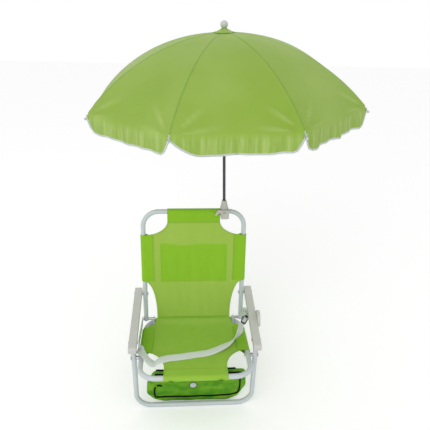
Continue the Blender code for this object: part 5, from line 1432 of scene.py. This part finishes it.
def gore_piece(index):
    """The cloth over one rib: half a panel to each side, with its half valances and their binding."""
    lift = RIB_RADIUS + GAP + CANOPY / 2
    between = 2 * pi / RIB_COUNT
    world = rib_frame(index)
    sides = VALANCE_SHARES.get(index, (0.22, 0.22))

    def panel(share):
        """The panel a share lies on, numbered by the rib before it."""
        return index if share >= 0.0 else (index - 2) % RIB_COUNT + 1

    def spot(along, share):
        """The cloth above the rib's own arc, straight between ribs, with its sag, billow and creases."""
        radius, height = RIB.point(along, lift)
        half = (radius + HINGE_RADIUS) * sin(between / 2) * cos(between / 2)
        reach = half * share
        inward = abs(reach) * tan(between / 2)
        size = abs(share)
        rise = sin(0.8 * pi * along / RIB.length)
        belly = PANEL_SAG * size * (2.0 - size) * rise
        billow = BILLOW * BILLOW_SHARES.get(panel(share), 0.25) * size * (2.0 - size)
        billow *= sin(pi * min(along / RIB.length, 1.0))
        ridge = SEAM_RIDGE * ease(1.0 - abs(reach) / SEAM_RIDGE_HALF)
        lean = between / 2 * min(size * 3.0, 1.0) * (1.0 if share >= 0.0 else -1.0)
        facing = RIB.start - along / RIB.bend_radius
        away = hypot(abs(reach), RIB.length - along)
        fan = atan2(abs(reach), max(RIB.length - along, 1e-4))
        wave = sin(fan * 9.0 + panel(share)) + 0.15 * sin(fan * 17.0 + 2.0 * panel(share))
        crease_and_highlight = wave * exp(-((away / CREASE_REACH) ** 2))
        crease_and_highlight *= ease((away - CREASE_START) / CREASE_RISE)
        crease_and_highlight *= ease(size * 4.0)
        middle = (half - abs(reach)) * (1.0 if share >= 0.0 else -1.0)
        ripple = noise.noise(Vector((middle * 16.0, along * 9.0, panel(share) * 7.3)))
        out = billow + ridge + CREASE_HEIGHT * crease_and_highlight - belly + RIPPLE_HEIGHT * ripple * ease(size * 3.0) * rise
        level = out * cos(facing)
        place = Vector((radius - inward + level * cos(lean), reach + level * sin(lean), 0.0))
        place.z = height + out * sin(facing)
        # The third value is a painted highlight share, high on the raised crease ridges.
        return place, middle, 0.7 * ease((crease_and_highlight - 0.10) / 0.8)

    def depth_at(share, middle):
        full = min(abs(share) / sides[0 if share < 0 else 1], 1.0)
        wave = 0.0011 * sin(middle * 70.0 + panel(share) * 2.1)
        return VALANCE_NOTCH + (VALANCE - VALANCE_NOTCH + wave) * sin(full * pi / 2)

    across = [-share for share in reversed(GORE_SHARES[1:])] + list(GORE_SHARES)
    rows = []
    steps = 60
    for step in range(steps + 1):
        along = CANOPY_START + (RIB.length - RIM_SOFT / 2 - CANOPY_START) * step / steps
        row = []
        for share in across:
            place, middle, crease_and_highlight = spot(along, share)
            reach = abs(place.y)
            seam = 0.6 * ease((0.0018 - reach) / 0.0010)
            row.append((world @ place, place.y, along, {"seam": seam, "valance": 0.0, "crease_and_highlight": crease_and_highlight}))
        rows.append(row)
    hems = ([], [])
    fall = [0.012, 0.03, 0.06, 0.12, 0.22, 0.34, 0.46, 0.58, 0.70, 0.82, 0.92, 1.0]
    for level in fall:
        row = []
        for share in across:
            if share == 0.0:
                row.append(None)
                continue
            start = spot(RIB.length - RIM_SOFT / 2, share)[0]
            rim, middle, crease_and_highlight = spot(RIB.length, share)
            depth = depth_at(share, middle)
            drop = depth * level
            side = 1.0 if share >= 0.0 else -1.0
            outward = Vector((cos(between / 2), side * sin(between / 2), 0.0))
            soft = ease(drop / RIM_SOFT + 0.45)
            top = start.lerp(rim, min(drop / RIM_SOFT * 2.0, 1.0))
            key = middle * 150.0 + panel(share) * 1.3
            gather = 0.0017 * sin(key) + 0.0012 * sin(key * 0.47 + 1.0) + 0.0004 * sin(key * 1.7)
            gather *= GATHER_SHARES.get(panel(share), 1.3) * ease(level * 1.4) * ease(abs(share) * 5.0)
            place = top + outward * (0.07 * drop + gather)
            place.z = top.z - drop * soft
            # The valance keeps the painted crease highlight, fading out towards its hem.
            shares = {"seam": 0.0, "valance": ease(drop / 0.010), "crease_and_highlight": crease_and_highlight * (1.0 - level)}
            row.append((world @ place, place.y, RIB.length + drop, shares))
            if level == 1.0:
                hems[0 if share < 0 else 1].append(world @ place)
        rows.append(row)
    name = f"canopy_gore_{index}"
    gore = cloth_piece(name, rows, "canopy", CANOPY * 0.8)
    split = gore.modifiers.new("crisp rim", "EDGE_SPLIT")
    split.split_angle = radians(65.0)
    area = cloth_area(rows)
    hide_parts(f"gore_{index}")
    down = -(world.to_3x3() @ Z_AXIS)
    made = [gore]
    for hem, word, side in zip(hems, ("a", "b"), (-1, 1)):
        tip = world @ spot(RIB.length, side * GORE_SHARES[1])[0]
        points = [tip] + (list(reversed(hem)) if side < 0 else hem)
        section = flat_oval(BINDING_WIDTH, BINDING_THICKNESS)
        rings, faces, uv = sweep(points, lambda i: section, False, [down] * len(points))
        made.append(new_piece(f"canopy_binding_{index}{word}", rings, faces, "binding", uv))
    for piece in made:
        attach(piece, f"rib_{index}")
        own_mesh(piece)
    return area


def rib_wires():
    """Each rib as a smooth wire with a round ball at its tip."""
    for index in range(1, RIB_COUNT + 1):
        world = rib_frame(index)
        places = [(-0.0010, RIB_RADIUS)]
        places += [(RIB.length * step / 36, RIB_RADIUS) for step in range(1, 37)]
        ball = 0.0030
        reach = RIB.length + 0.012 - 2 * ball
        for step in range(9):
            turn = pi * (0.12 + 0.86 * step / 8)
            places.append((reach + ball * (1.0 - cos(turn)), max(ball * sin(turn), 0.0002)))
        points = []
        for along, radius in places:
            x, z = RIB.point(along) if along > 0 else (along, 0.0)
            points.append(world @ Vector((x, 0.0, z)))
        radii = [radius for along, radius in places]
        wire = tube_piece(f"rib_wire_{index}", points, 0.0, "nylon", 14, radii=radii)
        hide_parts(f"rib_{index}")
        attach(wire, f"rib_{index}")


def canopy_top():
    """The knob on top, and the cloth cap below it that covers the middle of the canopy."""
    foot = CROWN_UP + CROWN_HALF + GAP * 2
    centre = foot + FINIAL_HEIGHT - FINIAL_BALL - FINIAL_SUNK
    profile = []
    for step in range(19):
        turn = radians(90 - 148 * step / 18)
        profile.append((max(FINIAL_BALL * cos(turn), 0.0006), centre + FINIAL_BALL * sin(turn)))
    profile += [(FINIAL_NECK, foot + 0.0050), (FINIAL_NECK, foot), (0.0006, foot)]
    up = UMBRELLA.to_3x3() @ Z_AXIS
    knob = lathe_piece("finial_knob", profile, UMBRELLA.translation, up, "nylon")
    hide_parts("finial")
    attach(knob, "pole")
    between = 2 * pi / RIB_COUNT
    rows = []
    for ring in range(10):
        share = ring / 9
        radius = FINIAL_NECK + 0.0006 + (CAP_RADIUS - FINIAL_NECK - 0.0006) * share
        row = []
        for step in range(97):
            angle = 2 * pi * step / 96
            from_middle = (angle + pi / 2) % between - between / 2
            along = max(radius * cos(from_middle) / cos(between / 2) - HINGE_RADIUS, 0.0)
            height = RIB.point(along, RIB_RADIUS + CANOPY)[1]
            height += 0.0016 + CAP_RISE * (1.0 - share) ** 1.7 + 0.0004 * sin(8 * angle) * share
            place = Vector((radius * cos(angle), radius * sin(angle), CROWN_UP + height))
            shares = {"seam": 0.5 * ease((share - 0.86) / 0.05), "valance": 0.0, "crease_and_highlight": 0.0}
            row.append((UMBRELLA @ place, radius * angle, radius, shares))
        rows.append(row)
    cap = cloth_piece("canopy_cap", rows, "canopy", CANOPY)
    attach(cap, "pole")


# CAD pieces that keep their own shape


def finish_nodes():
    looks = {
        "steel": ("back_bolt", "leg_bolt", "rear_leg_rod", "arm_bolt", "arm_pin"),
        "enamel": ("pivot_bracket",),
        "arm": ("armrest",),
        "black": ("armrest_disc_screw",),
        "clamp": ("clamp",),
        "pole": ("pole", "stretcher"),
        "nylon": ("crown", "runner"),
    }
    for name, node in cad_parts.items():
        if node.hide_render:
            continue
        for finish, starts in looks.items():
            if name.startswith(starts):
                node.data.materials.clear()
                node.data.materials.append(FINISHES[finish])


# Surroundings


def surroundings():
    """A pale floor, an even pale sky and one soft lamp."""
    mesh = bpy.data.meshes.new("studio_floor")
    reach = 6.0
    corners = [(-reach, -reach, 0.0), (reach, -reach, 0.0), (reach, reach, 0.0), (-reach, reach, 0.0)]
    mesh.from_pydata(corners, [], [(0, 1, 2, 3)])
    floor = bpy.data.objects.new("studio_floor", mesh)
    bpy.context.scene.collection.objects.link(floor)
    paint = bpy.data.materials.new("floor_paint")
    paint.use_nodes = True
    nodes, links = paint.node_tree.nodes, paint.node_tree.links
    shader = nodes["Principled BSDF"]
    shader.inputs["Base Color"].default_value = (0.93, 0.93, 0.93, 1.0)
    shader.inputs["Roughness"].default_value = 0.9
    glow = nodes.new("ShaderNodeEmission")
    glow.inputs["Color"].default_value = (1.0, 1.0, 1.0, 1.0)
    path = nodes.new("ShaderNodeLightPath")
    strength = nodes.new("ShaderNodeMath")
    strength.operation = "MULTIPLY"
    strength.inputs[1].default_value = 0.22
    links.new(path.outputs["Is Camera Ray"], strength.inputs[0])
    links.new(strength.outputs[0], glow.inputs["Strength"])
    both = nodes.new("ShaderNodeAddShader")
    links.new(shader.outputs[0], both.inputs[0])
    links.new(glow.outputs[0], both.inputs[1])
    links.new(both.outputs[0], nodes["Material Output"].inputs["Surface"])
    mesh.materials.append(paint)
    world = bpy.data.worlds.new("sky")
    bpy.context.scene.world = world
    world.use_nodes = True
    nodes, links = world.node_tree.nodes, world.node_tree.links
    sky = nodes["Background"]
    sky.inputs["Color"].default_value = (1.0, 1.0, 1.0, 1.0)
    path = nodes.new("ShaderNodeLightPath")
    seen = nodes.new("ShaderNodeMath")
    seen.operation = "MAXIMUM"
    links.new(path.outputs["Is Camera Ray"], seen.inputs[0])
    links.new(path.outputs["Is Glossy Ray"], seen.inputs[1])
    through = nodes.new("ShaderNodeMath")
    through.operation = "MAXIMUM"
    links.new(seen.outputs[0], through.inputs[0])
    links.new(path.outputs["Is Transmission Ray"], through.inputs[1])
    level = nodes.new("ShaderNodeMapRange")
    links.new(through.outputs[0], level.inputs["Value"])
    level.inputs["To Min"].default_value = 0.78
    level.inputs["To Max"].default_value = 1.0
    links.new(level.outputs[0], sky.inputs["Strength"])
    lamp = bpy.data.lights.new("soft_lamp", "AREA")
    lamp.shape = "RECTANGLE"
    lamp.size = 2.4
    lamp.size_y = 1.8
    lamp.energy = 26.0
    holder = bpy.data.objects.new("soft_lamp", lamp)
    bpy.context.scene.collection.objects.link(holder)
    holder.location = (-1.1, -2.2, 2.3)
    aim = Vector((0.05, 0.1, 0.45)) - holder.location
    holder.rotation_euler = aim.to_track_quat("-Z", "Y").to_euler()


def camera():
    level_share = cos(CAMERA_PITCH)
    forward = Vector((sin(CAMERA_YAW) * level_share, cos(CAMERA_YAW) * level_share, -sin(CAMERA_PITCH)))
    level = Vector((cos(CAMERA_YAW), -sin(CAMERA_YAW), 0.0))
    upward = level.cross(forward)
    right = level * cos(CAMERA_ROLL) + upward * sin(CAMERA_ROLL)
    up = upward * cos(CAMERA_ROLL) - level * sin(CAMERA_ROLL)
    lens = bpy.data.cameras.new("photo_camera")
    lens.sensor_width = SENSOR_MM
    lens.lens = FOCAL_PIXELS * SENSOR_MM / IMAGE_PIXELS
    lens.clip_end = 30.0
    holder = bpy.data.objects.new("photo_camera", lens)
    bpy.context.scene.collection.objects.link(holder)
    turn = Matrix((right, up, -forward)).transposed().to_4x4()
    holder.matrix_world = Matrix.Translation(CAMERA_PLACE) @ turn
    bpy.context.scene.camera = holder


camera()
frame_tubes()
back_sling_cloth()
back_pocket_cloth()
seat_sling_cloth()
sling_stitches()
belt()
pouch_trim(pouch_body())
pouch_straps()
for rib_index in range(1, RIB_COUNT + 1):
    gore_piece(rib_index)
rib_wires()
canopy_top()
finish_nodes()
surroundings()

bpy.context.scene.view_settings.view_transform = "Standard"
